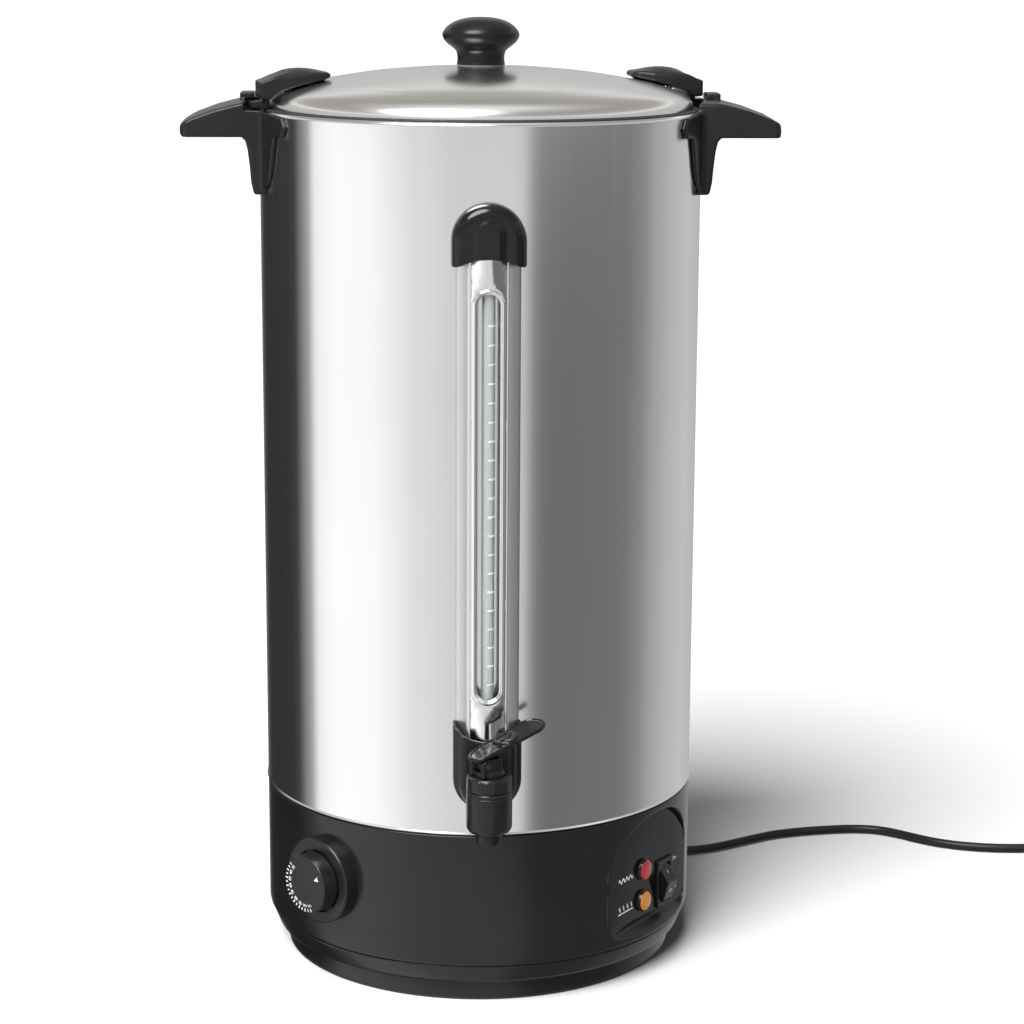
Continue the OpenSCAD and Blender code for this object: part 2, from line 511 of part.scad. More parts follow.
// ---------- power cord ----------
module cord_gland() color(black) at_az(gland_az) {
    radial(151, 154.6, gland_z, 8.2);
    radial(154.6, 158, gland_z, 6);
    radial(158, 161.5, gland_z, 8.4);
    translate([0, -161.5, gland_z]) rotate([90, 0, 0]) cylinder(h = 28.5, r1 = 7, r2 = 4.6, $fn = 48);
}
module power_cord() color(black) {
    sweep(route_a, cord_d / 2, 10);
    sweep(route_b, cord_d / 2, 10);
}
module cord_coil() color(black) translate([coil_x, coil_y, 0]) rotate_extrude() polygon([[33, 0.6], [34, 0], [45.6, 0], [46.6, 0.6], [46.6, 13.4], [45.6, 14], [34, 14], [33, 13.4]]);
module cord_tie() color("#2b2b2b") translate([coil_x, coil_y, 0]) rotate([0, 0, 215]) difference() {
    translate([31.8, -6, 0]) cube([16, 12, 15.2]);
    rotate_extrude() polygon([[33, -1], [46.6, -1], [46.6, 13.4], [45.6, 14], [34, 14], [33, 13.4]]);
}
module plug_frame() translate([558, 66, plug_z]) rotate([90, 0, 0]) children();
module power_plug() color(black) plug_frame() {
    rotate_extrude() polygon([[0, 0], [4.6, 0], [6.4, 22], [8, 24], [13, 30], [15.5, 38], [16, 50], [18.4, 53], [18.4, 68], [0, 68]]);
}
module plug_pins() color(bright) plug_frame() for (s = [-1, 1]) translate([s * 9.5, 0, 68]) cylinder(h = 19, r = 2.4, $fn = 32);

tank();
handle_left();
handle_right();
handle_screws();
handle_washers();
gauge_guard();
gauge_tube();
gauge_top_cap();
gauge_shield();
gauge_foot();
gauge_foot_nut();
gauge_seals();
gauge_bush();
tap_body();
tap_bonnet_nut();
tap_gasket();
tap_back_nut();
tap_turret();
tap_lever();
lever_pin();
tap_stem();
tap_spring();
seat_cup();
base_housing();
base_bottom();
foot_ring();
base_screws();
control_panel();
red_lamp();
amber_lamp();
lamp_holders();
switch_frame();
switch_rocker();
switch_body();
thermostat_bezel();
thermostat_knob();
thermostat_shaft();
thermostat_body();
thermostat_bulb();
heating_plate();
heating_element();
thermal_cutout();
terminal_block();
wiring();
cord_gland();
power_cord();
cord_coil();
cord_tie();
power_plug();
plug_pins();
lid_seal();
lid_dome();
lid_knob();
knob_washer();
knob_screw();
lid_lug_left();
lid_lug_right();
lug_screws();
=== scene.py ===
# Electric catering urn: looks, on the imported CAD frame. Metres, +Z up, front towards -Y.
import math

import bpy
import numpy as np
from mathutils import Matrix, Vector
from mathutils.geometry import delaunay_2d_cdt


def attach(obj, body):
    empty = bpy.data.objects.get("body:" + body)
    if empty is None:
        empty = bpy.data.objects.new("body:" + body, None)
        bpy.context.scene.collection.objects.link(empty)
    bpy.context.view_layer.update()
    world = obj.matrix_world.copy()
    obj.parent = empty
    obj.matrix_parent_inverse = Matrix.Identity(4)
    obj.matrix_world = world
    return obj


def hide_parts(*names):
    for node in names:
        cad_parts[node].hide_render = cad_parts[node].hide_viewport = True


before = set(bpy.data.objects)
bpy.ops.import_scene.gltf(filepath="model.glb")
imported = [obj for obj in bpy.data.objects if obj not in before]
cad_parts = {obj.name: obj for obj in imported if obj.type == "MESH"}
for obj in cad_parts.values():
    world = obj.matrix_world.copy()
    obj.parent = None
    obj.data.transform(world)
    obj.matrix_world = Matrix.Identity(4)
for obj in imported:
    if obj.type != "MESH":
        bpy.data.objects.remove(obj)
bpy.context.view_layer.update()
scene = bpy.context.scene
S = 0.001
RNG = np.random.default_rng(7)
rad = math.radians

# ------------------------------------------------------------------ camera
cam_data = bpy.data.cameras.new("camera")
cam_data.lens = 93.5447
cam_data.sensor_width = 36.0
cam_data.clip_end = 400.0
cam_data.dof.use_dof = False
camera = bpy.data.objects.new("camera", cam_data)
scene.collection.objects.link(camera)
camera.matrix_world = Matrix((
    (0.998918, 0.004352, -0.0463, -0.067098),
    (-0.046179, 0.210335, -0.976538, -1.921449),
    (0.005488, 0.97762, 0.210309, 0.737548),
    (0, 0, 0, 1)))
scene.camera = camera


# ------------------------------------------------------------------ materials
class Mat:
    """A small builder for node materials."""

    def __init__(self, name):
        self.m = bpy.data.materials.new(name)
        self.m.use_nodes = True
        self.t = self.m.node_tree
        self.t.nodes.clear()
        self.out = self.add("ShaderNodeOutputMaterial")
        self.p = self.add("ShaderNodeBsdfPrincipled")
        self.link(self.p.outputs[0], self.out.inputs[0])
        self.co = self.add("ShaderNodeTexCoord").outputs["Object"]

    def add(self, kind, **kw):
        n = self.t.nodes.new(kind)
        for k, v in kw.items():
            setattr(n, k, v)
        return n

    def link(self, a, b):
        self.t.links.new(a, b)

    def set(self, **kw):
        for k, v in kw.items():
            s = self.p.inputs[k.replace("_", " ")]
            s.default_value = v if not isinstance(v, tuple) or len(v) == 4 else (*v, 1.0)
        return self

    def mapping(self, scale=(1, 1, 1), rot=(0, 0, 0), loc=(0, 0, 0)):
        n = self.add("ShaderNodeMapping")
        n.inputs["Scale"].default_value = scale
        n.inputs["Rotation"].default_value = rot
        n.inputs["Location"].default_value = loc
        self.link(self.co, n.inputs["Vector"])
        return n.outputs[0]

    def noise(self, vec, scale, detail=3.0, rough=0.55, dist=0.0):
        n = self.add("ShaderNodeTexNoise")
        n.inputs["Scale"].default_value = scale
        n.inputs["Detail"].default_value = detail
        n.inputs["Roughness"].default_value = rough
        n.inputs["Distortion"].default_value = dist
        self.link(vec, n.inputs["Vector"])
        return n.outputs["Fac"]

    def ramp(self, fac, stops):
        n = self.add("ShaderNodeValToRGB")
        r = n.color_ramp
        while len(r.elements) < len(stops):
            r.elements.new(0.5)
        for e, (p, c) in zip(r.elements, stops):
            e.position = p
            e.color = (c, c, c, 1) if not isinstance(c, tuple) else (*c, 1)
        self.link(fac, n.inputs["Fac"])
        return n.outputs["Color"]

    def remap(self, fac, a, b, lo=0.0, hi=1.0):
        n = self.add("ShaderNodeMapRange")
        n.inputs["From Min"].default_value = lo
        n.inputs["From Max"].default_value = hi
        n.inputs["To Min"].default_value = a
        n.inputs["To Max"].default_value = b
        self.link(fac, n.inputs["Value"])
        return n.outputs[0]

    def bump(self, height, strength, distance):
        n = self.add("ShaderNodeBump")
        n.inputs["Strength"].default_value = strength
        n.inputs["Distance"].default_value = distance
        self.link(height, n.inputs["Height"])
        prev = self.p.inputs["Normal"]
        if prev.links:
            self.link(prev.links[0].from_socket, n.inputs["Normal"])
        self.link(n.outputs[0], prev)
        return self

    def to(self, socket, name):
        self.link(socket, self.p.inputs[name])
        return self


MATS = {}


def plastic(name, col, rough, grain=900.0, grain_depth=0.00003, spread=0.06, spec=0.5, mottle=6.0, smear=0.0, coat=0.0):
    """Moulded plastic: fine grain in the bump, slow drift of colour and gloss."""
    m = Mat(name)
    v = m.mapping()
    slow = m.noise(v, mottle, 4, 0.6)
    fine = m.noise(v, grain, 2, 0.5)
    a = tuple(c * 0.82 for c in col)
    b = tuple(min(1, c * 1.2 + 0.002) for c in col)
    m.to(m.ramp(slow, [(0.3, a), (0.7, b)]), "Base Color")
    m.to(m.remap(slow, max(0.03, rough - spread), rough + spread, 0.3, 0.7), "Roughness")
    m.bump(fine, 0.35, grain_depth)
    if smear:
        m.bump(m.noise(m.mapping((1, 1, 0.45)), 26, 3, 0.6, 0.6), smear, 0.0004)
    m.set(Specular_IOR_Level=spec)
    if coat:
        m.set(Coat_Weight=coat, Coat_Roughness=0.04)
    MATS[name] = m.m
    return m


def metal(name, col, rough, streak=(90, 90, 0.8), depth=0.15, spread=0.03, scale=14.0, tint=0.04, bump=0.00002, fine=(420, 420, 3)):
    """Metal with drawn streaks in one direction."""
    m = Mat(name)
    s1 = m.noise(m.mapping(streak), scale / 10, 4, 0.6)
    s2 = m.noise(m.mapping(fine), 1.0, 3, 0.6)
    slow = m.noise(m.mapping(), 3.0, 3, 0.5)
    a = tuple(c * (1 - tint) for c in col)
    b = tuple(min(1, c * (1 + tint)) for c in col)
    m.to(m.ramp(slow, [(0.3, a), (0.7, b)]), "Base Color")
    m.to(m.remap(s1, max(0.02, rough - spread), rough + spread, 0.3, 0.7), "Roughness")
    m.bump(s2, depth, bump)
    m.set(Metallic=1.0)
    MATS[name] = m.m
    return m


metal("steel_shell", (0.86, 0.865, 0.87), 0.16, streak=(55, 55, 0.25), scale=10, depth=0.25, bump=0.00003, fine=(160, 160, 0.6))
metal("steel_lid", (0.86, 0.855, 0.845), 0.2, streak=(3, 3, 3), scale=30, depth=0.1, bump=0.00002, fine=(90, 90, 90))
metal("steel_guard", (0.88, 0.885, 0.89), 0.14, streak=(70, 70, 0.6), scale=10, depth=0.15, bump=0.00002, fine=(200, 200, 2))
metal("steel_satin", (0.80, 0.80, 0.79), 0.36, streak=(70, 70, 0.6), scale=10, depth=0.2, bump=0.00003, fine=(240, 240, 2))
metal("steel_inner", (0.84, 0.84, 0.83), 0.5, streak=(40, 40, 0.6), scale=10, depth=0.2, bump=0.00003, fine=(200, 200, 2))
metal("steel_fastener", (0.62, 0.62, 0.63), 0.28, streak=(40, 40, 40), scale=10, depth=0.2, fine=(400, 400, 400))
metal("element_sheath", (0.3, 0.3, 0.29), 0.42, streak=(30, 30, 30), scale=10, tint=0.15, fine=(500, 500, 500))
metal("aluminium", (0.6, 0.6, 0.61), 0.45, streak=(20, 20, 20), scale=10, depth=0.4, bump=0.0001, fine=(300, 300, 300))
metal("copper", (0.72, 0.4, 0.25), 0.3, streak=(20, 20, 20), scale=10, tint=0.12)
metal("brass", (0.78, 0.62, 0.33), 0.25, streak=(20, 20, 20), scale=10, tint=0.08)
plastic("handle_plastic", (0.0105, 0.0108, 0.0118), 0.3, grain=1100, grain_depth=0.00006, mottle=9, spec=0.26)
plastic("tap_plastic", (0.0105, 0.0108, 0.0118), 0.26, grain=900, grain_depth=0.00005, mottle=14, spec=0.3)
plastic("lever_plastic", (0.006, 0.006, 0.0065), 0.14, grain=700, grain_depth=0.00002, mottle=14, spec=0.34)
plastic("base_plastic", (0.0095, 0.0095, 0.0108), 0.2, grain=1400, grain_depth=0.00002, mottle=4, spread=0.08, smear=0.12, spec=0.4)
plastic("panel_gloss", (0.002, 0.002, 0.0023), 0.09, grain=400, grain_depth=0.00001, mottle=6, spread=0.03, spec=0.28)
plastic("rocker_gloss", (0.0045, 0.0045, 0.005), 0.14, grain=400, grain_depth=0.00001, mottle=20, spread=0.03, spec=0.4)
plastic("dial_plastic", (0.009, 0.0092, 0.01), 0.24, grain=900, grain_depth=0.00004, mottle=14, spec=0.3)
plastic("knob_plastic", (0.0075, 0.0078, 0.0085), 0.28, grain=900, grain_depth=0.00006, mottle=14, spec=0.26)
plastic("lamp_rim", (0.012, 0.006, 0.006), 0.12, grain=500, grain_depth=0.00002, mottle=40, spec=0.5)
plastic("inner_black", (0.02, 0.02, 0.02), 0.5)
plastic("seal_dark", (0.02, 0.0195, 0.019), 0.6, grain=700)
plastic("rubber_black", (0.018, 0.018, 0.018), 0.62, grain=800, grain_depth=0.0001)
plastic("cord_rubber", (0.006, 0.006, 0.0065), 0.42, grain=1500, grain_depth=0.00008, mottle=12, spec=0.3)
plastic("plug_plastic", (0.014, 0.014, 0.0145), 0.42, grain=900, grain_depth=0.0001, mottle=12)
plastic("silicone", (0.62, 0.62, 0.58), 0.45, grain=600)
plastic("silicone_red", (0.42, 0.06, 0.04), 0.42, grain=600)
plastic("insulator", (0.72, 0.69, 0.61), 0.5, grain=500)
plastic("wire", (0.3, 0.11, 0.05), 0.45, grain=900)
plastic("print_white", (0.78, 0.79, 0.78), 0.45, grain=1500, mottle=60, spread=0.05)
plastic("print_pale", (0.6, 0.61, 0.6), 0.45, grain=1500, mottle=60, spread=0.05)

m = plastic("lamp_red", (0.42, 0.008, 0.014), 0.12, grain=500, mottle=160, spread=0.03, coat=0.6)
m.set(Transmission_Weight=0.15, Emission_Strength=0.05)
m.p.inputs["Emission Color"].default_value = (0.8, 0.01, 0.02, 1)
m = plastic("lamp_amber", (0.56, 0.2, 0.012), 0.12, grain=500, mottle=160, spread=0.03, coat=0.6)
m.set(Transmission_Weight=0.15, Emission_Strength=0.05)
m.p.inputs["Emission Color"].default_value = (0.9, 0.3, 0.01, 1)

m = Mat("tube_glass")
m.set(Base_Color=(0.9, 0.93, 0.94), Roughness=0.06, IOR=1.47, Transmission_Weight=0.75)
m.bump(m.noise(m.mapping((1, 1, 0.05)), 300, 2), 0.05, 0.0001)
MATS["tube_glass"] = m.m

NODE_MAT = {
    "tank": "steel_shell", "handle_left": "handle_plastic", "handle_right": "handle_plastic", "handle_screws": "steel_fastener",
    "handle_washers": "silicone", "gauge_guard": "steel_guard", "gauge_tube": "tube_glass", "gauge_top_cap": "lever_plastic",
    "gauge_shield": "tap_plastic", "gauge_foot": "steel_fastener", "gauge_foot_nut": "steel_fastener", "gauge_seals": "silicone_red",
    "gauge_bush": "silicone", "tap_body": "tap_plastic", "tap_bonnet_nut": "tap_plastic", "tap_gasket": "silicone",
    "tap_back_nut": "steel_fastener", "tap_turret": "tap_plastic", "tap_lever": "lever_plastic", "lever_pin": "inner_black",
    "tap_stem": "steel_fastener", "tap_spring": "steel_fastener", "seat_cup": "silicone", "base_housing": "base_plastic",
    "base_bottom": "base_plastic", "foot_ring": "rubber_black", "base_screws": "steel_fastener", "control_panel": "panel_gloss",
    "red_lamp": "lamp_red", "amber_lamp": "lamp_amber", "lamp_holders": "insulator", "switch_frame": "rocker_gloss",
    "switch_rocker": "rocker_gloss", "switch_body": "inner_black", "thermostat_bezel": "dial_plastic",
    "thermostat_knob": "dial_plastic", "thermostat_shaft": "steel_fastener", "thermostat_body": "insulator",
    "thermostat_bulb": "copper", "heating_plate": "aluminium", "heating_element": "element_sheath", "thermal_cutout": "insulator",
    "terminal_block": "insulator", "wiring": "wire", "cord_gland": "rubber_black", "power_cord": "cord_rubber",
    "cord_coil": "cord_rubber", "cord_tie": "inner_black", "power_plug": "plug_plastic", "plug_pins": "brass", "lid_seal": "seal_dark",
    "lid_dome": "steel_lid", "lid_knob": "knob_plastic", "knob_washer": "silicone", "knob_screw": "steel_fastener",
    "lid_lug_left": "handle_plastic", "lid_lug_right": "handle_plastic", "lug_screws": "steel_fastener"}
for node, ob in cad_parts.items():
    ob.data.materials.clear()
    ob.data.materials.append(MATS[NODE_MAT[node]])
    ob.data.polygons.foreach_set("use_smooth", [True] * len(ob.data.polygons))
    ob.data.set_sharp_from_angle(angle=rad(28))


# ------------------------------------------------------------------ mesh helpers (millimetres in, metres out)
def add_mesh(name, verts, faces, body, mat, replaces=(), sharp=35.0, mats=None, index=None):
    me = bpy.data.meshes.new(name)
    me.from_pydata((np.asarray(verts, float) * S).tolist(), [], faces)
    for mm in (mats or [mat]):
        me.materials.append(MATS[mm])
    me.polygons.foreach_set("use_smooth", [True] * len(me.polygons))
    if index is not None:
        me.polygons.foreach_set("material_index", index)
    me.update()
    if sharp:
        me.set_sharp_from_angle(angle=rad(sharp))
    ob = bpy.data.objects.new(name, me)
    scene.collection.objects.link(ob)
    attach(ob, body)
    if replaces:
        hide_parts(*replaces)
    return ob


def rounded(pts, closed=False, step=12.0):
    """Corner rounding: pts are (a, b) or (a, b, radius)."""
    out, n = [], len(pts)
    for i, p in enumerate(pts):
        r = p[2] if len(p) > 2 else 0.0
        c = np.array(p[:2], float)
        if r <= 0 or (not closed and i in (0, n - 1)):
            out.append(tuple(c))
            continue
        a = np.array(pts[(i - 1) % n][:2], float) - c
        b = np.array(pts[(i + 1) % n][:2], float) - c
        la, lb = np.linalg.norm(a), np.linalg.norm(b)
        a, b = a / la, b / lb
        ang = math.acos(max(-1, min(1, float(a @ b))))
        if ang > math.pi - 0.02:
            out.append(tuple(c))
            continue
        t = min(r / math.tan(ang / 2), 0.49 * la, 0.49 * lb)
        r = t * math.tan(ang / 2)
        mid = (a + b) / np.linalg.norm(a + b)
        o = c + mid * (r / math.sin(ang / 2))
        p0, p1 = c + a * t, c + b * t
        v0, v1 = p0 - o, p1 - o
        turn = math.acos(max(-1, min(1, float(v0 @ v1) / (r * r))))
        k = max(2, int(math.ceil(math.degrees(turn) / step)))
        for j in range(k + 1):
            s = j / k
            w = (math.sin((1 - s) * turn) * v0 + math.sin(s * turn) * v1) / math.sin(turn)
            out.append(tuple(o + w))
    return out


def spin(prof, n=256, closed=True, place=None):
    """Lathe a profile of (radius, height) round Z; returns verts and faces."""
    prof = [tuple(p[:2]) for p in prof]
    verts, rows = [], []
    for r, z in prof:
        if r < 1e-6:
            rows.append([len(verts)] * n)
            verts.append((0, 0, z))
        else:
            base = len(verts)
            a = np.arange(n) * 2 * math.pi / n
            verts += list(zip(r * np.cos(a), r * np.sin(a), np.full(n, z)))
            rows.append(list(range(base, base + n)))
    faces = []
    m = len(prof)
    for i in range(m if closed else m - 1):
        a, b = rows[i], rows[(i + 1) % m]
        if a[0] == a[1] and b[0] == b[1]:
            continue
        for k in range(n):
            q = [a[k], a[(k + 1) % n], b[(k + 1) % n], b[k]]
            f = []
            for v in q:
                if v not in f:
                    f.append(v)
            if len(f) > 2:
                faces.append(tuple(f))
    verts = np.array(verts, float)
    if place is not None:
        verts = place(verts)
    return verts, faces


def turned(v, az):
    a = rad(az)
    out = v.copy()
    out[:, 0] = v[:, 0] * math.cos(a) - v[:, 1] * math.sin(a)
    out[:, 1] = v[:, 0] * math.sin(a) + v[:, 1] * math.cos(a)
    return out


def facing(az, x=0.0, z=0.0, roll=0.0):
    """Puts a shape with its axis on +Z (height = distance out) on the urn's face at az, sideways x, height z."""
    def go(v):
        c, s = math.cos(rad(roll)), math.sin(rad(roll))
        w = np.empty_like(v)
        w[:, 0] = x + c * v[:, 0] - s * v[:, 1]
        w[:, 1] = -v[:, 2]
        w[:, 2] = z + s * v[:, 0] + c * v[:, 1]
        return turned(w, az)
    return go


def flip(faces):
    return [tuple(reversed(f)) for f in faces]


def join(*parts):
    """Joins (verts, faces) pairs; returns verts, faces and the part index of each face."""
    vs, fs, ix, base = [], [], [], 0
    for i, (v, f) in enumerate(parts):
        vs.append(np.asarray(v, float))
        fs += [tuple(x + base for x in q) for q in f]
        ix += [i] * len(f)
        base += len(v)
    return np.concatenate(vs), fs, ix


def fix_normals(ob):
    import bmesh
    bm = bmesh.new()
    bm.from_mesh(ob.data)
    bmesh.ops.recalc_face_normals(bm, faces=bm.faces)
    bm.to_mesh(ob.data)
    bm.free()


# ------------------------------------------------------------------ cord
def catmull(pts, per=8):
    p = np.array(pts, float)
    p = np.vstack([2 * p[0] - p[1], p, 2 * p[-1] - p[-2]])
    out = []
    for i in range(1, len(p) - 2):
        for j in range(per):
            t = j / per
            a, b, c, d = p[i - 1], p[i], p[i + 1], p[i + 2]
            out.append(0.5 * ((2 * b) + (-a + c) * t + (2 * a - 5 * b + 4 * c - d) * t * t + (-a + 3 * b - 3 * c + d) * t ** 3))
    out.append(p[-2])
    return np.array(out)


CORD_R = 3.5
route_a = [(65, 178.6, 40), (68, 187, 39), (74, 198, 34.5), (84, 207, 26), (98, 211, 16.5), (112, 208, 9.2), (124, 200, 5.2), (134, 189, 3.8),
           (143, 177, 3.5), (153, 167, 3.5), (165, 160, 3.5), (178, 157.5, 3.5), (196, 162.5, 3.5), (213, 171, 3.5), (233, 183, 3.5),
           (255, 195, 3.5), (278, 202, 3.5), (300, 206, 3.5), (322, 208, 3.5), (342, 205, 3.5), (359, 195, 3.5), (374, 182, 3.5),
           (389, 171, 3.5), (406, 163, 3.5), (426, 157.5, 3.5), (446, 155.2, 3.5), (468, 155, 3.5), (492, 155, 3.5), (515, 155, 3.5)]
route_b = [(558, 112, 10.5), (558, 102, 11), (558, 92, 12.6), (558, 82, 15.2), (558, 74, 17.3), (558, 66, 18.4)]
CX, CY = 515.0, 112.0
# clockwise turns: angle from, to, radius from, to, height from, to
legs = [(90, 30, 43, 43, 3.5, 3.5), (30, -210, 43, 43, 3.5, 3.5), (-210, -270, 43, 36, 3.5, 3.5), (-270, -480, 36, 36, 3.5, 3.5),
        (-480, -540, 36, 36, 3.5, 10.5), (-540, -750, 36, 36, 10.5, 10.5), (-750, -810, 36, 43, 10.5, 10.5), (-810, -1080, 43, 43, 10.5, 10.5)]
coil = []
for a0, a1, r0, r1, z0, z1 in legs:
    k = max(2, int(abs(a1 - a0) / 15))
    for j in range(1, k + 1):
        t = j / k
        s = t * t * (3 - 2 * t)
        a = rad(a0 + (a1 - a0) * t)
        coil.append((CX + (r0 + (r1 - r0) * s) * math.cos(a), CY + (r0 + (r1 - r0) * s) * math.sin(a), z0 + (z1 - z0) * s))
cord_path = catmull(route_a + coil + route_b[1:], 5)
cord_path[:, 2] = np.maximum(cord_path[:, 2], CORD_R)
cd = bpy.data.curves.new("cord", "CURVE")
cd.dimensions = "3D"
cd.bevel_depth = CORD_R * S
cd.bevel_resolution = 6
cd.use_fill_caps = True
sp = cd.splines.new("POLY")
sp.points.add(len(cord_path) - 1)
sp.points.foreach_set("co", np.hstack([cord_path * S, np.ones((len(cord_path), 1))]).ravel())
sp.use_smooth = True
cd.materials.append(MATS["cord_rubber"])
cord = bpy.data.objects.new("cord", cd)
scene.collection.objects.link(cord)
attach(cord, "urn")
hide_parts("power_cord", "cord_coil")

# ------------------------------------------------------------------ studio
fm = Mat("studio_floor")
fm.set(Base_Color=(0.9, 0.9, 0.9), Roughness=0.9, Specular_IOR_Level=0.0)
MATS["studio_floor"] = fm.m
me = bpy.data.meshes.new("studio_floor")
R = 60.0
me.from_pydata([(-R, -R, 0), (R, -R, 0), (R, R, 0), (-R, R, 0)], [], [(0, 1, 2, 3)])
me.materials.append(fm.m)
floor = bpy.data.objects.new("studio_floor", me)
scene.collection.objects.link(floor)
floor.location.z = -0.0004
floor.visible_glossy = False

key = bpy.data.lights.new("key", "SUN")
key.energy = 5.0
key.angle = rad(38)
ko = bpy.data.objects.new("key", key)
scene.collection.objects.link(ko)
el, az = rad(52), rad(-32)
d = Vector((math.sin(az) * math.cos(el), -math.cos(az) * math.cos(el), math.sin(el)))
ko.rotation_euler = d.to_track_quat("Z", "Y").to_euler()

fill = bpy.data.lights.new("fill", "SUN")
fill.energy = 0.22
fill.angle = rad(170)
fo = bpy.data.objects.new("fill", fill)
scene.collection.objects.link(fo)
fo.visible_glossy = False

# world: what the polished shell mirrors. Below the horizon the tone runs round with the direction, above it is a soft dome.
world = bpy.data.worlds.new("studio")
scene.world = world
world.use_nodes = True
nt = world.node_tree
nt.nodes.clear()


def wn(kind, **kw):
    n = nt.nodes.new(kind)
    for k, v in kw.items():
        setattr(n, k, v)
    return n


def wmath(op, a, b=None, c=None):
    n = wn("ShaderNodeMath", operation=op)
    for i, v in enumerate((a, b, c)):
        if v is None:
            continue
        if isinstance(v, (int, float)):
            n.inputs[i].default_value = v
        else:
            nt.links.new(v, n.inputs[i])
    return n.outputs[0]


def wramp(fac, stops, interp="LINEAR"):
    n = wn("ShaderNodeValToRGB")
    r = n.color_ramp
    r.interpolation = interp
    while len(r.elements) < len(stops):
        r.elements.new(0.5)
    for e, (p, c) in zip(r.elements, stops):
        e.position = min(1, max(0, p))
        e.color = (c, c, c, 1) if not isinstance(c, tuple) else (*c, 1)
    nt.links.new(fac, n.inputs["Fac"])
    return n.outputs["Color"]


tc = wn("ShaderNodeTexCoord")
sep = wn("ShaderNodeSeparateXYZ")
nt.links.new(tc.outputs["Generated"], sep.inputs[0])
azim = wmath("ARCTAN2", sep.outputs[0], wmath("MULTIPLY", sep.outputs[1], -1.0))      # 0 to the front, + to +X
t = wmath("MULTIPLY_ADD", azim, 1 / (2 * math.pi), 0.5)


def lin(v):
    v = v / 255.0
    return v / 12.92 if v <= 0.04045 else ((v + 0.055) / 1.055) ** 2.4


def az_stop(deg, level):
    return ((deg + 180) / 360.0, level)


GAIN = 1 / 0.86
BANDS = [(-180, 170), (-170, 140), (-163, 82), (-156, 52), (-150, 46), (-115, 46), (-103, 140), (-95, 244), (-82, 255), (-60, 253), (-46, 240), (-36, 222), (-10, 207),
         (10, 208), (17, 206), (21, 194), (25, 122), (31, 104), (60, 108), (78, 112), (88, 128), (104, 164), (118, 180), (136, 188), (150, 180), (164, 172), (180, 170)]
low = wramp(t, [az_stop(a, lin(v) * GAIN) for a, v in BANDS], "EASE")
elev = sep.outputs[2]
up = wramp(wmath("MULTIPLY_ADD", elev, 0.5, 0.5), [
    (0.5, 0.55), (0.6, 0.54), (0.68, 0.54), (0.70, 0.98), (0.72, 0.98), (0.74, (0.43, 0.41, 0.375)), (0.875, (0.36, 0.345, 0.32)), (0.95, 0.5), (1.0, 0.85)])
mix = wn("ShaderNodeMix", data_type="RGBA")
nt.links.new(wmath("SMOOTH_MIN", wmath("MAXIMUM", wmath("MULTIPLY_ADD", elev, 14.0, -0.5), 0.0), 1.0, 0.05), mix.inputs["Factor"])
nt.links.new(low, mix.inputs["A"])
nt.links.new(up, mix.inputs["B"])
bg = wn("ShaderNodeBackground")
bg.inputs["Strength"].default_value = 1.0
scene.world.cycles_visibility.diffuse = False
nt.links.new(mix.outputs["Result"], bg.inputs[0])
wo = wn("ShaderNodeOutputWorld")
nt.links.new(bg.outputs[0], wo.inputs[0])
scene.view_settings.view_transform = "Standard"

# ------------------------------------------------------------------ solids from distance fields
def smax(a, b, k):
    if k <= 0:
        return np.maximum(a, b)
    h = np.maximum(k - np.abs(a - b), 0.0) / k
    return np.maximum(a, b) + h * h * k * 0.25


def smin(a, b, k):
    return -smax(-a, -b, k)


def poly2(pts):
    p = np.array(pts, float)
    q = np.roll(p, -1, 0)

    def f(x, y):
        d = np.full(x.shape, 1e18)
        inside = np.zeros(x.shape, bool)
        for (ax, ay), (bx, by) in zip(p, q):
            ex, ey = bx - ax, by - ay
            wx, wy = x - ax, y - ay
            t = np.clip((wx * ex + wy * ey) / (ex * ex + ey * ey), 0, 1)
            d = np.minimum(d, (wx - ex * t) ** 2 + (wy - ey * t) ** 2)
            c = (ay > y) != (by > y)
            if ay != by:
                inside ^= c & (x < (bx - ax) * (y - ay) / (by - ay) + ax)
        d = np.sqrt(d)
        return np.where(inside, -d, d)
    return f


def box2(x, y, hx, hy, r=0.0):
    qx, qy = np.abs(x) - hx + r, np.abs(y) - hy + r
    return np.minimum(np.maximum(qx, qy), 0) + np.hypot(np.maximum(qx, 0), np.maximum(qy, 0)) - r


def box3(x, y, z, hx, hy, hz, r=0.0):
    qx, qy, qz = np.abs(x) - hx + r, np.abs(y) - hy + r, np.abs(z) - hz + r
    return (np.minimum(np.maximum(qx, np.maximum(qy, qz)), 0)
            + np.sqrt(np.maximum(qx, 0) ** 2 + np.maximum(qy, 0) ** 2 + np.maximum(qz, 0) ** 2) - r)


def cyl(r2, h, r, half, k=0.0):
    """Capped cylinder: r2 distance from its axis, h height from its middle."""
    return smax(r2 - r, np.abs(h) - half, k)


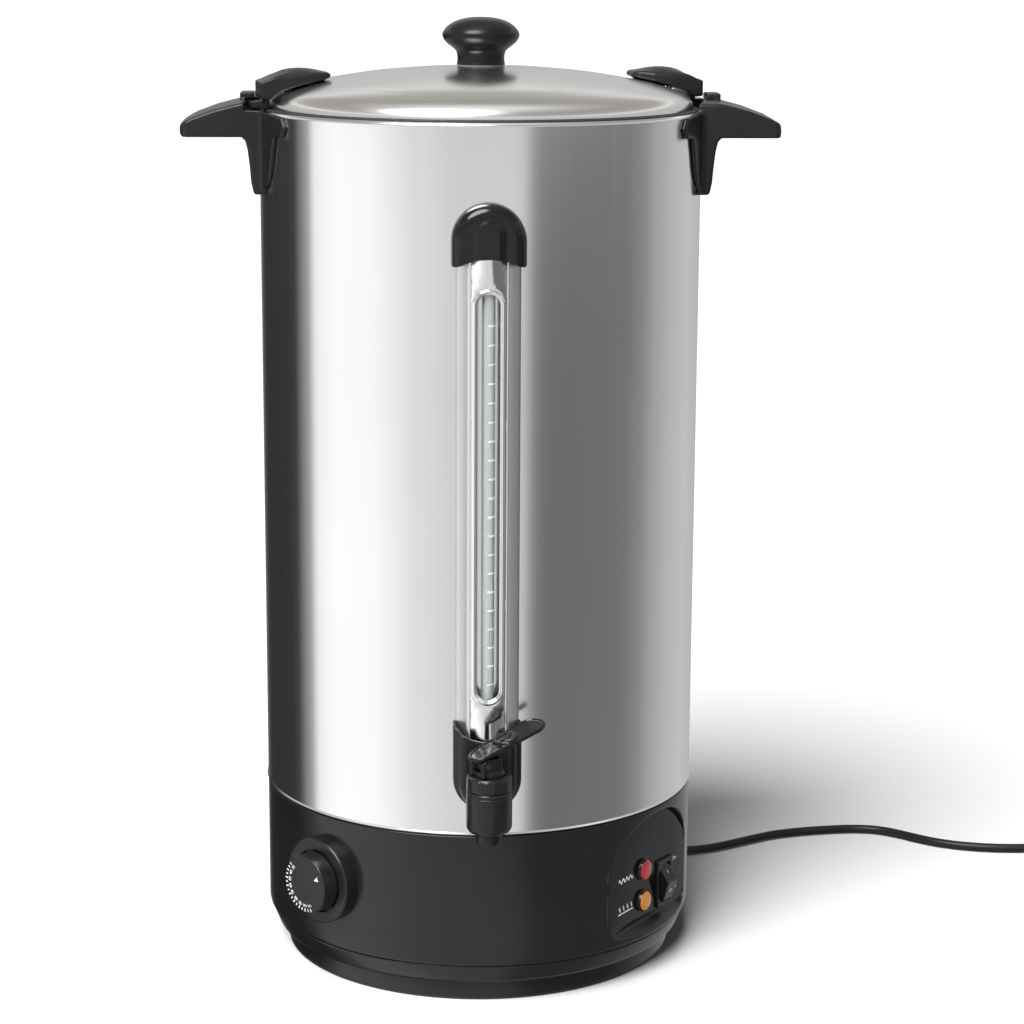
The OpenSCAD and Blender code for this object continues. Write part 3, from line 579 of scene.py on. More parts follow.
def field_mesh(f, lo, hi, h, steps=4):
    """Surface nets on a grid, then each point is pulled on to the surface."""
    lo, hi = np.array(lo, float), np.array(hi, float)
    n = np.ceil((hi - lo) / h).astype(int) + 1
    ax = [lo[i] + h * np.arange(n[i]) for i in range(3)]
    V = np.empty(n)
    for i in range(n[0]):
        Y, Z = np.meshgrid(ax[1], ax[2], indexing="ij")
        V[i] = f(np.full(Y.shape, ax[0][i]), Y, Z)
    c = [V[i:n[0] - 1 + i, j:n[1] - 1 + j, k:n[2] - 1 + k] for i in (0, 1) for j in (0, 1) for k in (0, 1)]
    lowest, highest = np.minimum.reduce(c), np.maximum.reduce(c)
    mask = (lowest < 0) & (highest >= 0)
    cells = np.argwhere(mask)
    index = -np.ones(mask.shape, int)
    index[tuple(cells.T)] = np.arange(len(cells))
    acc, cnt = np.zeros((len(cells), 3)), np.zeros(len(cells))
    corners = np.array([(i, j, k) for i in (0, 1) for j in (0, 1) for k in (0, 1)])
    vals = np.stack([q[mask] for q in c], 1)
    for a in range(8):
        for b in range(a + 1, 8):
            if np.abs(corners[a] - corners[b]).sum() != 1:
                continue
            va, vb = vals[:, a], vals[:, b]
            m = (va < 0) != (vb < 0)
            t = np.where(m, va / np.where(m, va - vb, 1), 0)
            p = corners[a] + (corners[b] - corners[a]) * t[:, None]
            acc[m] += p[m]
            cnt[m] += 1
    P = lo + h * (cells + acc / cnt[:, None])
    faces = []
    for axis in range(3):
        u, v = (axis + 1) % 3, (axis + 2) % 3
        s = [slice(None)] * 3
        s[axis] = slice(0, -1)
        t = [slice(None)] * 3
        t[axis] = slice(1, None)
        A, B = V[tuple(s)], V[tuple(t)]
        e = np.argwhere((A < 0) != (B < 0))
        e = e[(e[:, u] > 0) & (e[:, v] > 0) & (e[:, u] < n[u] - 1) & (e[:, v] < n[v] - 1)]
        sign = A[tuple(e.T)] < 0
        q = []
        for du, dv in ((-1, -1), (0, -1), (0, 0), (-1, 0)):
            w = e.copy()
            w[:, u] += du
            w[:, v] += dv
            q.append(index[tuple(w.T)])
        q = np.stack(q, 1)
        q[~sign] = q[~sign][:, ::-1]
        faces.append(q)
    F = np.concatenate(faces)
    for _ in range(steps):
        d0 = f(P[:, 0], P[:, 1], P[:, 2])
        g = np.empty_like(P)
        for i in range(3):
            Q = P.copy()
            Q[:, i] += 0.04
            g[:, i] = (f(Q[:, 0], Q[:, 1], Q[:, 2]) - d0) / 0.04
        gg = np.maximum((g * g).sum(1), 0.2)
        P -= np.clip(d0 / gg, -0.5 * h, 0.5 * h)[:, None] * g
    return P, [tuple(r) for r in F.tolist()]


def field_piece(name, f, lo, hi, h, body, mat, replaces=(), place=None, sharp=0.0):
    P, F = field_mesh(f, lo, hi, h)
    if place is not None:
        P = place(P)
    return add_mesh(name, P, F, body, mat, replaces, sharp=sharp)


def fronted(az):
    """Shapes made as (sideways, -distance out, height) turned to the direction az."""
    return lambda v: turned(v, az)


TR = 158.1
# ------------------------------------------------------------------ tank, lid, knob
tank_prof = rounded([(158.1, 127.5, 0.3), (158.7, 128.1, 0.3), (158.0, 129.4, 0.3), (158, 617.7, 2.2), (156.6, 619.4, 1.2), (150.2, 619.4, 0.5), (150.2, 618.5, 0.3), (155.2, 618.5, 1.5), (157, 616.6, 1.5), (157, 132.4), (157, 132.3, 0.1),
                     (120, 132.2), (0, 132.2), (0, 131), (150, 131), (156.9, 130.8), (156.9, 127.6)], closed=True, step=14)
v, f = spin(tank_prof, 384)
mid = [v[list(q)].mean(0) for q in f]
inner = [1 if math.hypot(c[0], c[1]) < 157.2 and 131.5 < c[2] < 617 else 0 for c in mid]
tank = add_mesh("tank_shell", v, f, "urn", "steel_shell", ["tank"], sharp=30, mats=["steel_shell", "steel_inner"], index=inner)
fix_normals(tank)

lid_out = [(0, 649.7), (15, 649.6), (30, 649.1), (45, 648.3), (60, 647.1), (73, 645.9), (85, 644.4), (100, 642), (112, 639.9), (122, 637.9), (125, 637.1), (131, 635.6),
           (137, 633.9), (141, 632.5), (144, 631.3), (146.5, 629.9), (148.5, 628.3), (150, 626.5), (151, 624.7), (151.7, 622.7), (152, 621.4)]
prof = rounded([(2.7, 649.68, 0), (2.75, 649.69, 0)] + [(a, b) for a, b in lid_out[1:-1]] + [(152, 620.9, 0.5), (151.6, 620.6, 0.3), (148.5, 620.6, 0), (148.5, 609, 0.3), (147.6, 609, 0.3), (147.6, 621.8, 0.8),
               (150.3, 622.4, 0.8), (149.2, 625.6), (147, 628.3), (143, 630.6), (136.6, 632.8), (124.8, 636), (112, 638.8), (100, 640.9), (85, 643.3), (60, 646), (30, 648), (2.7, 648.6)], closed=True)
# the dome's own points, joined by straight lines
v, f = spin(prof, 320)
lid = add_mesh("lid_shell", v, f, "lid", "steel_lid", ["lid_dome"], sharp=25)
fix_normals(lid)

knob_prof = catmull([(0, 683.9, 0), (6, 683.65, 0), (12, 682.8, 0), (18, 681, 0), (23, 678.1, 0), (26.4, 674.5, 0), (27.5, 671.6, 0), (26.9, 668.9, 0), (24.7, 665.9, 0), (21, 662.9, 0), (18.3, 660.7, 0),
                     (17.2, 658.4, 0), (16.8, 655.4, 0), (16.9, 652.6, 0), (17.3, 650.8, 0)], 4)[:, :2]
prof = [tuple(p) for p in knob_prof] + [(17.25, 650.45), (16.9, 650.3), (3.2, 650.3), (2.6, 650.6), (2.6, 663.9), (0, 664.0)]
prof[0] = (0, 683.9)
v, f = spin(prof, 128, closed=False)
knob = add_mesh("knob", v, f, "lid", "knob_plastic", ["lid_knob"], sharp=40)
fix_normals(knob)


# ------------------------------------------------------------------ side handles
handle_side = poly2([(150, 561.5), (159.6, 561.5), (160.9, 563), (162.4, 570), (163.4, 582), (164.7, 593), (166.2, 599), (168.6, 601.4), (211.5, 601.4), (214, 602.6), (214.6, 604.5), (214.6, 607.4),
                     (210.5, 612), (203, 616.3), (189, 621.5), (175, 625.2), (166.5, 627), (150, 627)])
saddle_face = poly2([(-38, 563.4), (-26, 561.6), (26, 561.6), (38, 563.4), (50, 567.5), (58, 575), (61.5, 583), (64, 592), (67.6, 603), (78, 603.5), (82, 610.3), (78, 617.6), (66, 619), (-66, 619), (-78, 617.6), (-82, 610.3), (-78, 603.5),
                     (-67.6, 603), (-64, 592), (-61.5, 583), (-58, 575), (-50, 567.5)])


def handle_field(x, y, z):
    o = -y
    R = np.hypot(x, y)
    w = np.clip((z - 606) / 10, 0, 1)
    side = handle_side(o, z + w * 1.5 * (x / 44) ** 2)
    plan = box2(x, o - 150, 44, 64.6, 9)
    d = smax(side, plan, 2.6)
    d = smax(d, R - 214.6, 2.2)
    # finger hollow under the grip
    under = box3(x, o - 189.5, z - 600.4, 36, 17.5, 3.4, 3.2)
    d = smax(d, -under, 1.6)
    sad = smax(np.abs(R - 159.45) - 1.35, saddle_face(x, z), 1.4)
    d = smin(d, sad, 4.0)
    d = smin(d, box3(x, o - 166, z - 626, 12.25, 5, 5, 1.0), 0.8)
    d = smax(d, TR - R, 0.2)
    groove = np.minimum(box3(x - 42.5, o - 158.4, z - 630, 30, 8.4, 9.9, 0.3), box3(x, o - 158.4, z - 623.2, 12.8, 8.4, 3.1, 0.3))
    return smax(d, -groove, 0.7)


for name, az in (("left", -90), ("right", 90)):
    field_piece("grip_" + name, handle_field, (-86, -217, 559), (86, -130, 634), 1.05, "urn", "handle_plastic", ["handle_" + name], fronted(az))

# ------------------------------------------------------------------ lid lugs
lug_side = poly2([(109.4, 642.2), (109, 644.4), (111, 645.8), (120.6, 647.6), (130.4, 648.2), (140.9, 646.8), (148.9, 643.8), (154.7, 640.9), (159, 639.4), (159.7, 638.6), (159.7, 628.2), (152.8, 627.4),
                  (149.6, 630.3), (144.6, 632.9), (137.4, 635.2), (125.4, 638.2), (112.4, 641.1)])
lug_plan = poly2([(-19, 160), (19, 160), (19, 136), (17.5, 124), (13.5, 113), (9, 108), (-9, 108), (-13.5, 113), (-17.5, 124), (-19, 136)])


def lug_field(x, y, z):
    o = -y
    d = smax(lug_side(o, z), lug_plan(x, o), 1.8)
    crown = np.hypot(x, z - 608.2) - 40
    d = smax(d, crown, 2.4)
    # raised boss along the middle of the wing, and its flat border
    boss = np.sqrt((x / 13.5) ** 2 + ((o - 131) / 19) ** 2 + ((z - 641.5) / 7.2) ** 2) - 1
    d = smin(d, boss * 7, 1.6)
    d = smin(d, box3(x, o - 154.3, z - 625, 11, 1.4, 4.2, 0.5), 1.0)
    return smin(d, box3(x, o - 160.2, z - 623.2, 11, 5.3, 2.4, 0.7), 0.8)


for name, az in (("left", -90), ("right", 90)):
    field_piece("lug_" + name, lug_field, (-22, -168, 618), (22, -105, 651), 0.7, "lid", "handle_plastic", ["lid_lug_" + name], fronted(az + 9))

# ------------------------------------------------------------------ sight gauge
guard_pts = [(-22, 157), (-20.5, 160), (-14.5, 171), (-12.5, 172.4), (12.5, 172.4), (14.5, 171), (20.5, 160), (22, 157)]
guard_pocket = poly2([(-22.3, 150), (-22.3, 157.2), (-20.8, 160.2), (-14.7, 171.2), (-12.6, 172.6), (12.6, 172.6), (14.7, 171.2), (20.8, 160.2), (22.3, 157.2), (22.3, 150)])


def half_disc(x, z, w, top):
    up = np.hypot(x, z - (top - w)) - w
    return np.where(z > top - w, up, np.abs(x) - w)


def cap_field(x, y, z):
    o = -y
    d = smax(half_disc(x, z, 25.2, 567.5), o - 174.6, 10.0)
    rib = smax(half_disc(x, z, 9.4, 556.5), o - 176.3, 5.0)
    d = smin(d, rib, 3.0)
    d = smax(d, 42 - np.hypot(x, z - 489), 2.0)
    d = smax(d, 525.2 - z, 2.0)
    d = smax(d, TR - np.hypot(x, y), 0.2)
    pocket = smax(guard_pocket(x, o), z - 544.2, 0)
    return smax(d, -pocket, 0.3)


field_piece("gauge_cap", cap_field, (-28, -180, 520), (28, -150, 571), 0.62, "urn", "lever_plastic", ["gauge_top_cap"])


def shield_field(x, y, z):
    o = -y
    a = np.where(z < 172, np.hypot(x, z - 172) - 23.6, np.abs(x) - 23.6)
    b = np.where(z < 170, np.hypot(x, z - 170) - 19.5, np.abs(x) - 19.5)
    d = smin(smax(a, o - 170.4, 4.0), smax(b, o - 176, 5.0), 3.0)
    d = smax(d, z - 213.4, 1.0)
    scoop = 29 - np.hypot(x, z - 229)
    d = smax(d, scoop, 2.2)
    d = smax(d, TR - np.hypot(x, y), 0.2)
    h = np.where(z < 175, np.hypot(x, z - 175) - 17, np.abs(x) - 17)
    d = smax(d, -smax(h, o - 173.2, 0.5), 0.5)
    d = smax(d, -smax(guard_pocket(x, o), 171.8 - z, 0), 0.3)
    r = np.hypot(x, z - 157)
    d = smax(d, 10.4 - r, 0.5)
    return smax(d, -smax(r - 14.4, o - 166.4, 0.3), 0.3)


field_piece("gauge_guard_shield", shield_field, (-26, -179, 146), (26, -150, 216), 0.7, "urn", "tap_plastic", ["gauge_shield"])


def stadium_loop(w, z1, z2, n=28):
    """Points and outward directions round an upright slot, anticlockwise seen from the front."""
    out = []
    for cz, a0 in ((z1 + w / 2, 180), (z2 - w / 2, 0)):
        for k in range(n + 1):
            a = rad(a0 + 180 * k / n)
            out.append((w / 2 * math.cos(a), cz + w / 2 * math.sin(a), math.cos(a), math.sin(a)))
        side = []
        top = cz > (z1 + z2) / 2
        # straight side, in steps
        z_from, z_to = (z1 + w / 2, z2 - w / 2) if not top else (z2 - w / 2, z1 + w / 2)
        x = w / 2 if not top else -w / 2
        for k in range(1, 24):
            z = z_from + (z_to - z_from) * k / 24
            side.append((x, z, math.copysign(1, x), 0.0))
        out += side
    return out


def guard_mesh():
    verts, faces = [], []
    # bead and turned-in edge, swept round the window: (offset from the bead's outer line, distance out)
    sec = [(-0.3, 172.4), (0.0, 172.4), (0.25, 172.45), (0.5, 172.65), (0.8, 173.0), (1.1, 173.22), (1.45, 173.3), (1.8, 173.22), (2.1, 172.98), (2.3, 172.7), (2.45, 172.35), (2.6, 172.1), (2.9, 172.0), (3.3, 171.9),
           (3.55, 171.6), (3.62, 171.2), (3.62, 170.9)]
    loop = stadium_loop(22.4, 225.3, 511.4)
    n = len(loop)
    for off, out in sec:
        for x, z, nx, nz in loop:
            verts.append((x - nx * off, -out, z - nz * off))
    for i in range(len(sec) - 1):
        for k in range(n):
            a, b = i * n + k, i * n + (k + 1) % n
            faces.append((a, b, b + n, a + n))
    # flat face round the bead, triangulated
    outer = []
    for z in np.linspace(172, 544, 40):
        outer.append((12.0, z))
    for z in np.linspace(544, 172, 40):
        outer.append((-12.0, z))
    pts = [Vector((x, z)) for x, z in outer] + [Vector((p[0] + 0.3 * p[2], p[1] + 0.3 * p[3])) for p in loop]
    m = len(outer)
    edges = [(i, (i + 1) % m) for i in range(m)] + [(m + i, m + (i + 1) % n) for i in range(n)]
    co, _, tri, _, _, _ = delaunay_2d_cdt(pts, edges, [], 0, 1e-6)
    base = len(verts)
    verts += [(p.x, -172.4, p.y) for p in co]
    for t in tri:
        c = sum((co[i] for i in t), Vector((0, 0))) / 3
        zc = min(max(c.y, 225.3 + 11.2), 511.4 - 11.2)
        if math.hypot(c.x, c.y - zc) > 11.49:
            faces.append(tuple(base + i for i in t))
    # flanks with a rounded fold
    for s in (1, -1):
        sec2 = [(12.0, 172.4)] + rounded([(12.15, 172.4), (13.1, 172.4, 2.2), (14.6, 170.8, 1.2), (20.5, 160, 1.6), (22, 157.6)], step=8)
        rows = np.linspace(172, 544, 94)
        base = len(verts)
        for z in rows:
            for a, b in sec2:
                verts.append((s * a, -b, z))
        k = len(sec2)
        for i in range(len(rows) - 1):
            for j in range(k - 1):
                q = (base + i * k + j, base + i * k + j + 1, base + (i + 1) * k + j + 1, base + (i + 1) * k + j)
                faces.append(q if s > 0 else q[::-1])
    verts = np.array(verts)
    # the front is slightly bowed
    verts[:, 1] += np.minimum(verts[:, 0] ** 2, 144.0) / 120.0
    return verts, faces


v, f = guard_mesh()
satin = [1 if abs(v[list(q), 0].mean()) > 12.3 else 0 for q in f]
guard = add_mesh("gauge_channel", v, f, "urn", "steel_guard", ["gauge_guard"], sharp=0, mats=["steel_guard", "steel_satin"], index=satin)
import bmesh
bm = bmesh.new()
bm.from_mesh(guard.data)
bmesh.ops.remove_doubles(bm, verts=bm.verts, dist=0.00002)
bmesh.ops.recalc_face_normals(bm, faces=bm.faces)
# the normals face out of the urn
s = sum((fc.normal.y * fc.calc_area() for fc in bm.faces))
if s > 0:
    bmesh.ops.reverse_faces(bm, faces=bm.faces)
bm.to_mesh(guard.data)
bm.free()
sol = guard.modifiers.new("sheet", "SOLIDIFY")
sol.thickness = 0.0009
sol.offset = -1.0

# tube, with its bore, and its marks
tube_prof = rounded([(4.5, 192.6, 0.5), (4.5, 533.4, 0.8), (3.3, 533.4, 0.4), (3.3, 192.6, 0.4)], closed=True)
v, f = spin(tube_prof, 64)
v[:, 1] -= 164.8
tube = add_mesh("gauge_glass", v, f, "urn", "tube_glass", ["gauge_tube"], sharp=30)
fix_normals(tube)
parts = []
for i in range(20):
    z0 = 239.4 + 13 * i
    a0, a1, k = (-4, 74, 14)
    vv, ff = [], []
    for j in range(k + 1):
        a = rad(a0 + (a1 - a0) * j / k)
        for r in (4.50, 4.62):
            for dz in (-0.65, 0.65):
                ease = 0.35 if j in (0, k) else 0.0
                vv.append((r * math.sin(a), -164.8 - r * math.cos(a), z0 + dz * (1 - ease)))
    for j in range(k):
        a, b = 4 * j, 4 * (j + 1)
        ff += [(a + 2, b + 2, b + 3, a + 3), (a, a + 1, b + 1, b), (a + 1, a + 3, b + 3, b + 1), (a, b, b + 2, a + 2)]
    ff += [(0, 2, 3, 1), (4 * k, 4 * k + 1, 4 * k + 3, 4 * k + 2)]
    parts.append((vv, ff))
v, f, _ = join(*parts)
marks = add_mesh("gauge_marks", v, f, "urn", "print_white", sharp=40)
fix_normals(marks)

# ------------------------------------------------------------------ tap
PARTS = []
v1, f1 = spin(rounded([(5.2, 151, 0), (10, 151, 0), (10, 177.8, 0), (12.9, 177.8, 0.5), (12.9, 175.6, 0.2), (15.1, 175.55, 0.35), (15.7, 174.4, 0.9), (15.7, 173.4, 0.4), (15.35, 173.1, 0.3), (15.35, 172.4, 0.3), (15.7, 172.1, 0.3),
                       (15.6, 149.6, 2.4), (13.8, 146.65, 1.5), (9.5, 146.6, 0.8), (9.2, 145.4, 0.6), (9.1, 138.9, 0.7), (8.6, 138.05, 0.5), (7.2, 138.05, 0.5), (6.5, 138.9, 0.5), (6.5, 144, 0.4), (5, 144.2, 0.3)], closed=True), 96)
v1[:, 1] -= 203
v2, f2 = spin(rounded([(5.6, 138, 0), (10.2, 138, 0.8), (10.2, 160.3, 0), (14, 160.3, 0.8), (14, 166, 1.0), (10.4, 166, 0.8), (10.2, 167.5, 0), (10.2, 190.5, 0), (5.6, 190.5, 0)], closed=True), 80, place=facing(0, 0, 157))
v, f, _ = join((v1, f1), (v2, f2))
tap = add_mesh("tap_barrel", v, f, "urn", "tap_plastic", ["tap_body"], sharp=30)
fix_normals(tap)

# bonnet nut with fine ribs
prof = rounded([(13, 175.75, 0), (14.9, 175.75, 0.5), (15.5, 176.8, 0.6), (15.3, 184.4, 0.8), (14.4, 186, 0.8), (10.6, 186, 0.6), (10.5, 183.9, 0.2), (13, 183.9, 0)], closed=True, step=14)
n = 360
v, f = spin(prof, n)
a = np.arctan2(v[:, 1], v[:, 0])
r = np.hypot(v[:, 0], v[:, 1])
ridge = np.clip(np.cos(a * 18) * 3.0 - 1.6, 0, 1)
amt = ridge * 0.5 * np.clip((r - 14.7) / 0.5, 0, 1) * np.clip((v[:, 2] - 177.0) / 0.6, 0, 1) * np.clip((184.6 - v[:, 2]) / 0.8, 0, 1)
# the ribs swell the barrel of the nut outward
v[:, 0] *= (r + amt) / r
v[:, 1] *= (r + amt) / r
v[:, 1] -= 203
nut = add_mesh("bonnet_nut", v, f, "urn", "tap_plastic", ["tap_bonnet_nut"], sharp=35)
fix_normals(nut)

LT = rad(34)


def lever_place(v):
    w = v.copy()
    w[:, 0] = v[:, 0] * math.cos(LT) - v[:, 1] * math.sin(LT)
    w[:, 1] = v[:, 0] * math.sin(LT) + v[:, 1] * math.cos(LT) - 203
    return w


def turret_field(x, y, z):
    r = np.hypot(x, y)
    d = cyl(r, z - 181, 12.9, 2.7, 0.8)
    d = smin(d, cyl(r, z - 183.95, 10.3, 5.65, 0.8), 1.0)
    for s in (-1, 1):
        yy = y - s * 6.3
        c = box3(x - (-0.5), yy, z - 192.6, 6.0, 1.7, 6.2, 0.9)
        b = box3(x - (-8.0), yy, z - 190.6, 3.0, 1.7, 4.2, 0.9)
        e = cyl(np.hypot(x + 6.5, z - 194.8), yy, 4.5, 1.7, 0.8)
        d = smin(d, smin(smin(c, b, 0.8), e, 0.6), 0.9)
    d = smax(d, -cyl(r, z - 185, 3.05, 15), 0.2)
    return smax(d, -(np.hypot(x + 6.5, z - 194.8) - 1.99), 0.2)


field_piece("turret", turret_field, (-15, -15, 176.5), (15, 15, 201), 0.5, "tap_head", "tap_plastic", ["tap_turret"], lever_place)

c12, s12 = math.cos(rad(16.5)), math.sin(rad(16.5))
lever_hull = poly2([(-7.92, 8.99), (34.48, 10.99), (34.48, -10.99), (-7.92, -8.99)])


def lever_field(x, y, z):
    # plate frame
    px = x * c12 + (z - 205) * s12
    pz = -x * s12 + (z - 205) * c12
    p2 = np.minimum(np.minimum(np.hypot(px - 35, y) - 11, np.hypot(px + 7.5, y) - 9), lever_hull(px, y))
    plate = smax(p2, np.abs(pz + 1.6) - 1.6, 1.8)
    dish = smax(p2 + 1.7, -(pz + 0.95), 1.0)
    plate = smax(plate, -dish, 0.5)
    hub = cyl(np.hypot(px - 14, y), pz - 0.0, 8.7, 1.4, 1.3)
    rib = box3(px - 14, np.abs(y) - 2.7, pz - 1.35, 5.4, 1.0, 0.75, 0.5)
    hub = smax(hub, -rib, 0.5)
    d = smin(plate, hub, 1.2)
    web = box3(x + 0.25, y, z - 197, 6.2, 4.4, 4.4, 0.6)
    d = smin(d, web, 1.0)
    d = smin(d, cyl(np.hypot(x + 6.5, z - 194.8), y, 4.5, 4.4, 0.4), 0.6)
    d = smax(d, -(np.hypot(x + 6.5, z - 194.8) - 2.02), 0.2)
    d = smax(d, -box3(x - 0.2, y, z - 192.2, 3.6, 3.2, 7.2), 0.3)
    return smax(d, -box3(x - 0.35, y, z - 194.7, 1.65, 6, 1.48), 0.2)


field_piece("lever", lever_field, (-19, -17, 188), (48, 17, 218), 0.5, "lever", "lever_plastic", ["tap_lever"], lever_place)

# ------------------------------------------------------------------ flat plates with openings
def cdt_fill(loops, extra=()):
    """Fills the first loop with the others as openings; returns points and triangles."""
    pts, edges = [], []
    for lp in loops:
        b = len(pts)
        pts += [Vector(p) for p in lp]
        edges += [(b + i, b + (i + 1) % len(lp)) for i in range(len(lp))]
    pts += [Vector(p) for p in extra]
    co, _, tri, _, _, _ = delaunay_2d_cdt(pts, edges, [], 0, 1e-7)
    fields = [poly2(lp) for lp in loops]
    keep = []
    c = np.array([[sum(co[i].x for i in t) / 3, sum(co[i].y for i in t) / 3] for t in tri])
    ok = fields[0](c[:, 0], c[:, 1]) < 0
    for g in fields[1:]:
        ok &= g(c[:, 0], c[:, 1]) > 0
    keep = [tuple(t) for t, o in zip(tri, ok) if o]
    return np.array([(p.x, p.y) for p in co]), keep


def strip(loop_a, loop_b, base):
    n = len(loop_a)
    return [(base + i, base + (i + 1) % n, base + n + (i + 1) % n, base + n + i) for i in range(n)]


def walls(rows):
    """Joins loops of 3-D points with the same number of points."""
    v, f, n = [], [], len(rows[0])
    for r in rows:
        v += [tuple(p) for p in r]
    for i in range(len(rows) - 1):
        f += strip(rows[i], rows[i + 1], i * n)
    return np.array(v, float), f


def circle(cx, cz, r, n=40):
    return [(cx + r * math.cos(2 * math.pi * k / n), cz + r * math.sin(2 * math.pi * k / n)) for k in range(n)]


def rrect(cx, cz, hw, hh, r, n=5):
    out = []
    for sx, sz, a0 in ((1, 1, 0), (-1, 1, 90), (-1, -1, 180), (1, -1, 270)):
        for k in range(n + 1):
            a = rad(a0 + 90 * k / n)
            out.append((cx + sx * (hw - r) + r * math.cos(a), cz + sz * (hh - r) + r * math.sin(a)))
    return out


def arch(g, n=60):
    h = 54 - g
    out = []
    for k in range(n + 1):
        a = math.pi * k / n
        out.append((h * math.cos(a), 80 + h * 0.78 * math.sin(a)))
    out.append((-h, 65))
    for k in range(13):
        a = rad(180 + 90 * k / 12)
        out.append((-h + 12 + 12 * math.cos(a), 37 + g + 12 + 12 * math.sin(a)))
    for k in range(1, 8):
        out.append((-h + 12 + (2 * h - 24) * k / 8, 37 + g))
    for k in range(13):
        a = rad(270 + 90 * k / 12)
        out.append((h - 12 + 12 * math.cos(a), 37 + g + 12 + 12 * math.sin(a)))
    out.append((h, 65))
    return out


def merge(ob, dist=0.00003, outward=None):
    import bmesh
    bm = bmesh.new()
    bm.from_mesh(ob.data)
    bmesh.ops.remove_doubles(bm, verts=bm.verts, dist=dist)
    bmesh.ops.recalc_face_normals(bm, faces=bm.faces)
    if outward is not None:
        s = sum((fc.normal.dot(outward(fc.calc_center_median())) * fc.calc_area() for fc in bm.faces))
        if s < 0:
            bmesh.ops.reverse_faces(bm, faces=bm.faces)
    bm.to_mesh(ob.data)
    bm.free()
    ob.data.polygons.foreach_set("use_smooth", [True] * len(ob.data.polygons))


PAZ, PD = 54.0, 148.5
RH = 157.9
# ------------------------------------------------------------------ base housing, with the panel's recess
N = 256
ths = [(-math.pi + 2 * math.pi * k / N) for k in range(N + 1)]
z_lo, z_hi = 33.2, 125.5
outer = [(t * RH, z_lo) for t in ths] + [(ths[-1] * RH, z) for z in np.linspace(z_lo, z_hi, 12)[1:-1]] + [(t * RH, z_hi) for t in reversed(ths)] + [(ths[0] * RH, z) for z in np.linspace(z_hi, z_lo, 12)[1:-1]]


def recess_rows():
    base = arch(0.0)
    n = len(base)
    nrm = []
    for i in range(n):
        a, b = base[(i - 1) % n], base[(i + 1) % n]
        dx, dz = b[0] - a[0], b[1] - a[1]
        l = math.hypot(dx, dz)
        nrm.append((dz / l, -dx / l))
    rows = []
    low = [min(1.0, max(0.0, -q[1])) ** 1.5 for q in nrm]
    for step in range(13):
        u = step / 12
        row = []
        for (x, z), (nx, nz), w in zip(base, nrm, low):
            surf = math.sqrt(RH * RH - x * x)
            full = surf - (PD - 1.2)
            fr = min(1.3, max(0.04, 0.45 * (surf - PD)))
            # sharp recess: quarter round, then a straight wall
            if u < 0.5:
                off_a, dep_a = fr * (1 - math.sin(math.pi * u)), fr * (1 - math.cos(math.pi * u))
            else:
                off_a, dep_a = 0.0, fr + (full - fr) * (u - 0.5) * 2
            # sweep: half wave from the shell to the plate
            ro = min(3.4, max(0.05, 0.6 * (surf - PD)))
            off_b, dep_b = ro - (ro + 0.9 * ro) * u, (full - 1.0) * (1 - math.cos(math.pi * u)) / 2
            off, dep = off_a * (1 - w) + off_b * w, dep_a * (1 - w) + dep_b * w
            xx, zz = x + nx * off, z + nz * off
            row.append((xx, -(math.sqrt(max(0.0, RH * RH - xx * xx)) - dep), zz))
        rows.append(row)
    return rows


rows = recess_rows()
hole = [(math.asin(p[0] / RH) * RH, p[2]) for p in rows[0]]
hf = poly2(hole)
gx = np.array([(t * RH, z) for t in ths[1:-1] for z in np.linspace(z_lo, z_hi, 13)[1:-1]])
keep = hf(gx[:, 0], gx[:, 1]) > 1.6
pts2, tri = cdt_fill([outer, hole], gx[keep].tolist())
v1 = np.stack([RH * np.sin(pts2[:, 0] / RH), -RH * np.cos(pts2[:, 0] / RH), pts2[:, 1]], 1)
v2, f2 = walls(rows)
lips = rounded([(151.6, 31.2), (151.6, 29.35, 0.3), (154.6, 29.35, 1.2), (157.2, 30.2, 1.2), (157.9, 33.2)], step=12)
v3, f3 = spin(lips, N, closed=False)
lips2 = [(157.9, 125.5), (157.88, 125.8), (157.78, 126.05), (157.6, 126.25), (157.35, 126.38), (157.05, 126.44), (156.7, 126.46), (156.6, 126.6), (156.6, 130.2), (156.3, 130.4), (152.6, 130.4), (152.6, 124)]
v4, f4 = spin(lips2, N, closed=False)
v, f, _ = join((v1, tri), (v2, f2), (v3, f3), (v4, f4))
housing = add_mesh("base_shell", turned(v, PAZ), f, "urn", "base_plastic", ["base_housing"], sharp=0)
merge(housing, outward=lambda c: Vector((c.x, c.y, 0)).normalized())
housing.data.set_sharp_from_angle(angle=rad(35))

# stepped bottom with vent slots
prof = rounded([(137.9, 6.0), (137.9, 1.6, 0.4), (143.9, 1.6, 0.8), (143.9, 15.2, 0.8), (150.6, 15.8, 0.9), (151.6, 17.0, 0.8), (156, 28, 0.8), (156, 29.2, 0.4), (152, 29.2)], step=14)
v1, f1 = spin(prof, N, closed=False)
disc = circle(0, 0, 137.9, N)
slots = [rrect(x * 11, 0, 2, 45, 1.6, 4) for x in range(-4, 5)]
screws = [circle(134 * math.sin(rad(a)), -134 * math.cos(rad(a)), 2.3, 20) for a in (30, 120, 210, 300)]
p2, t2 = cdt_fill([disc] + slots + screws)
v2 = np.stack([p2[:, 0], p2[:, 1], np.full(len(p2), 6.0)], 1)
p3 = [(v2.copy() * np.array([1, 1, 0]) + np.array([0, 0, 8.5]), t2)]
ws = []
for lp in slots + screws:
    ws.append(walls([[(x, y, 6.0) for x, y in lp], [(x, y, 8.5) for x, y in lp]]))
v, f, _ = join((v1, f1), (v2, t2), *p3, *ws)
bottom = add_mesh("base_foot_shell", v, f, "urn", "base_plastic", ["base_bottom"], sharp=0)
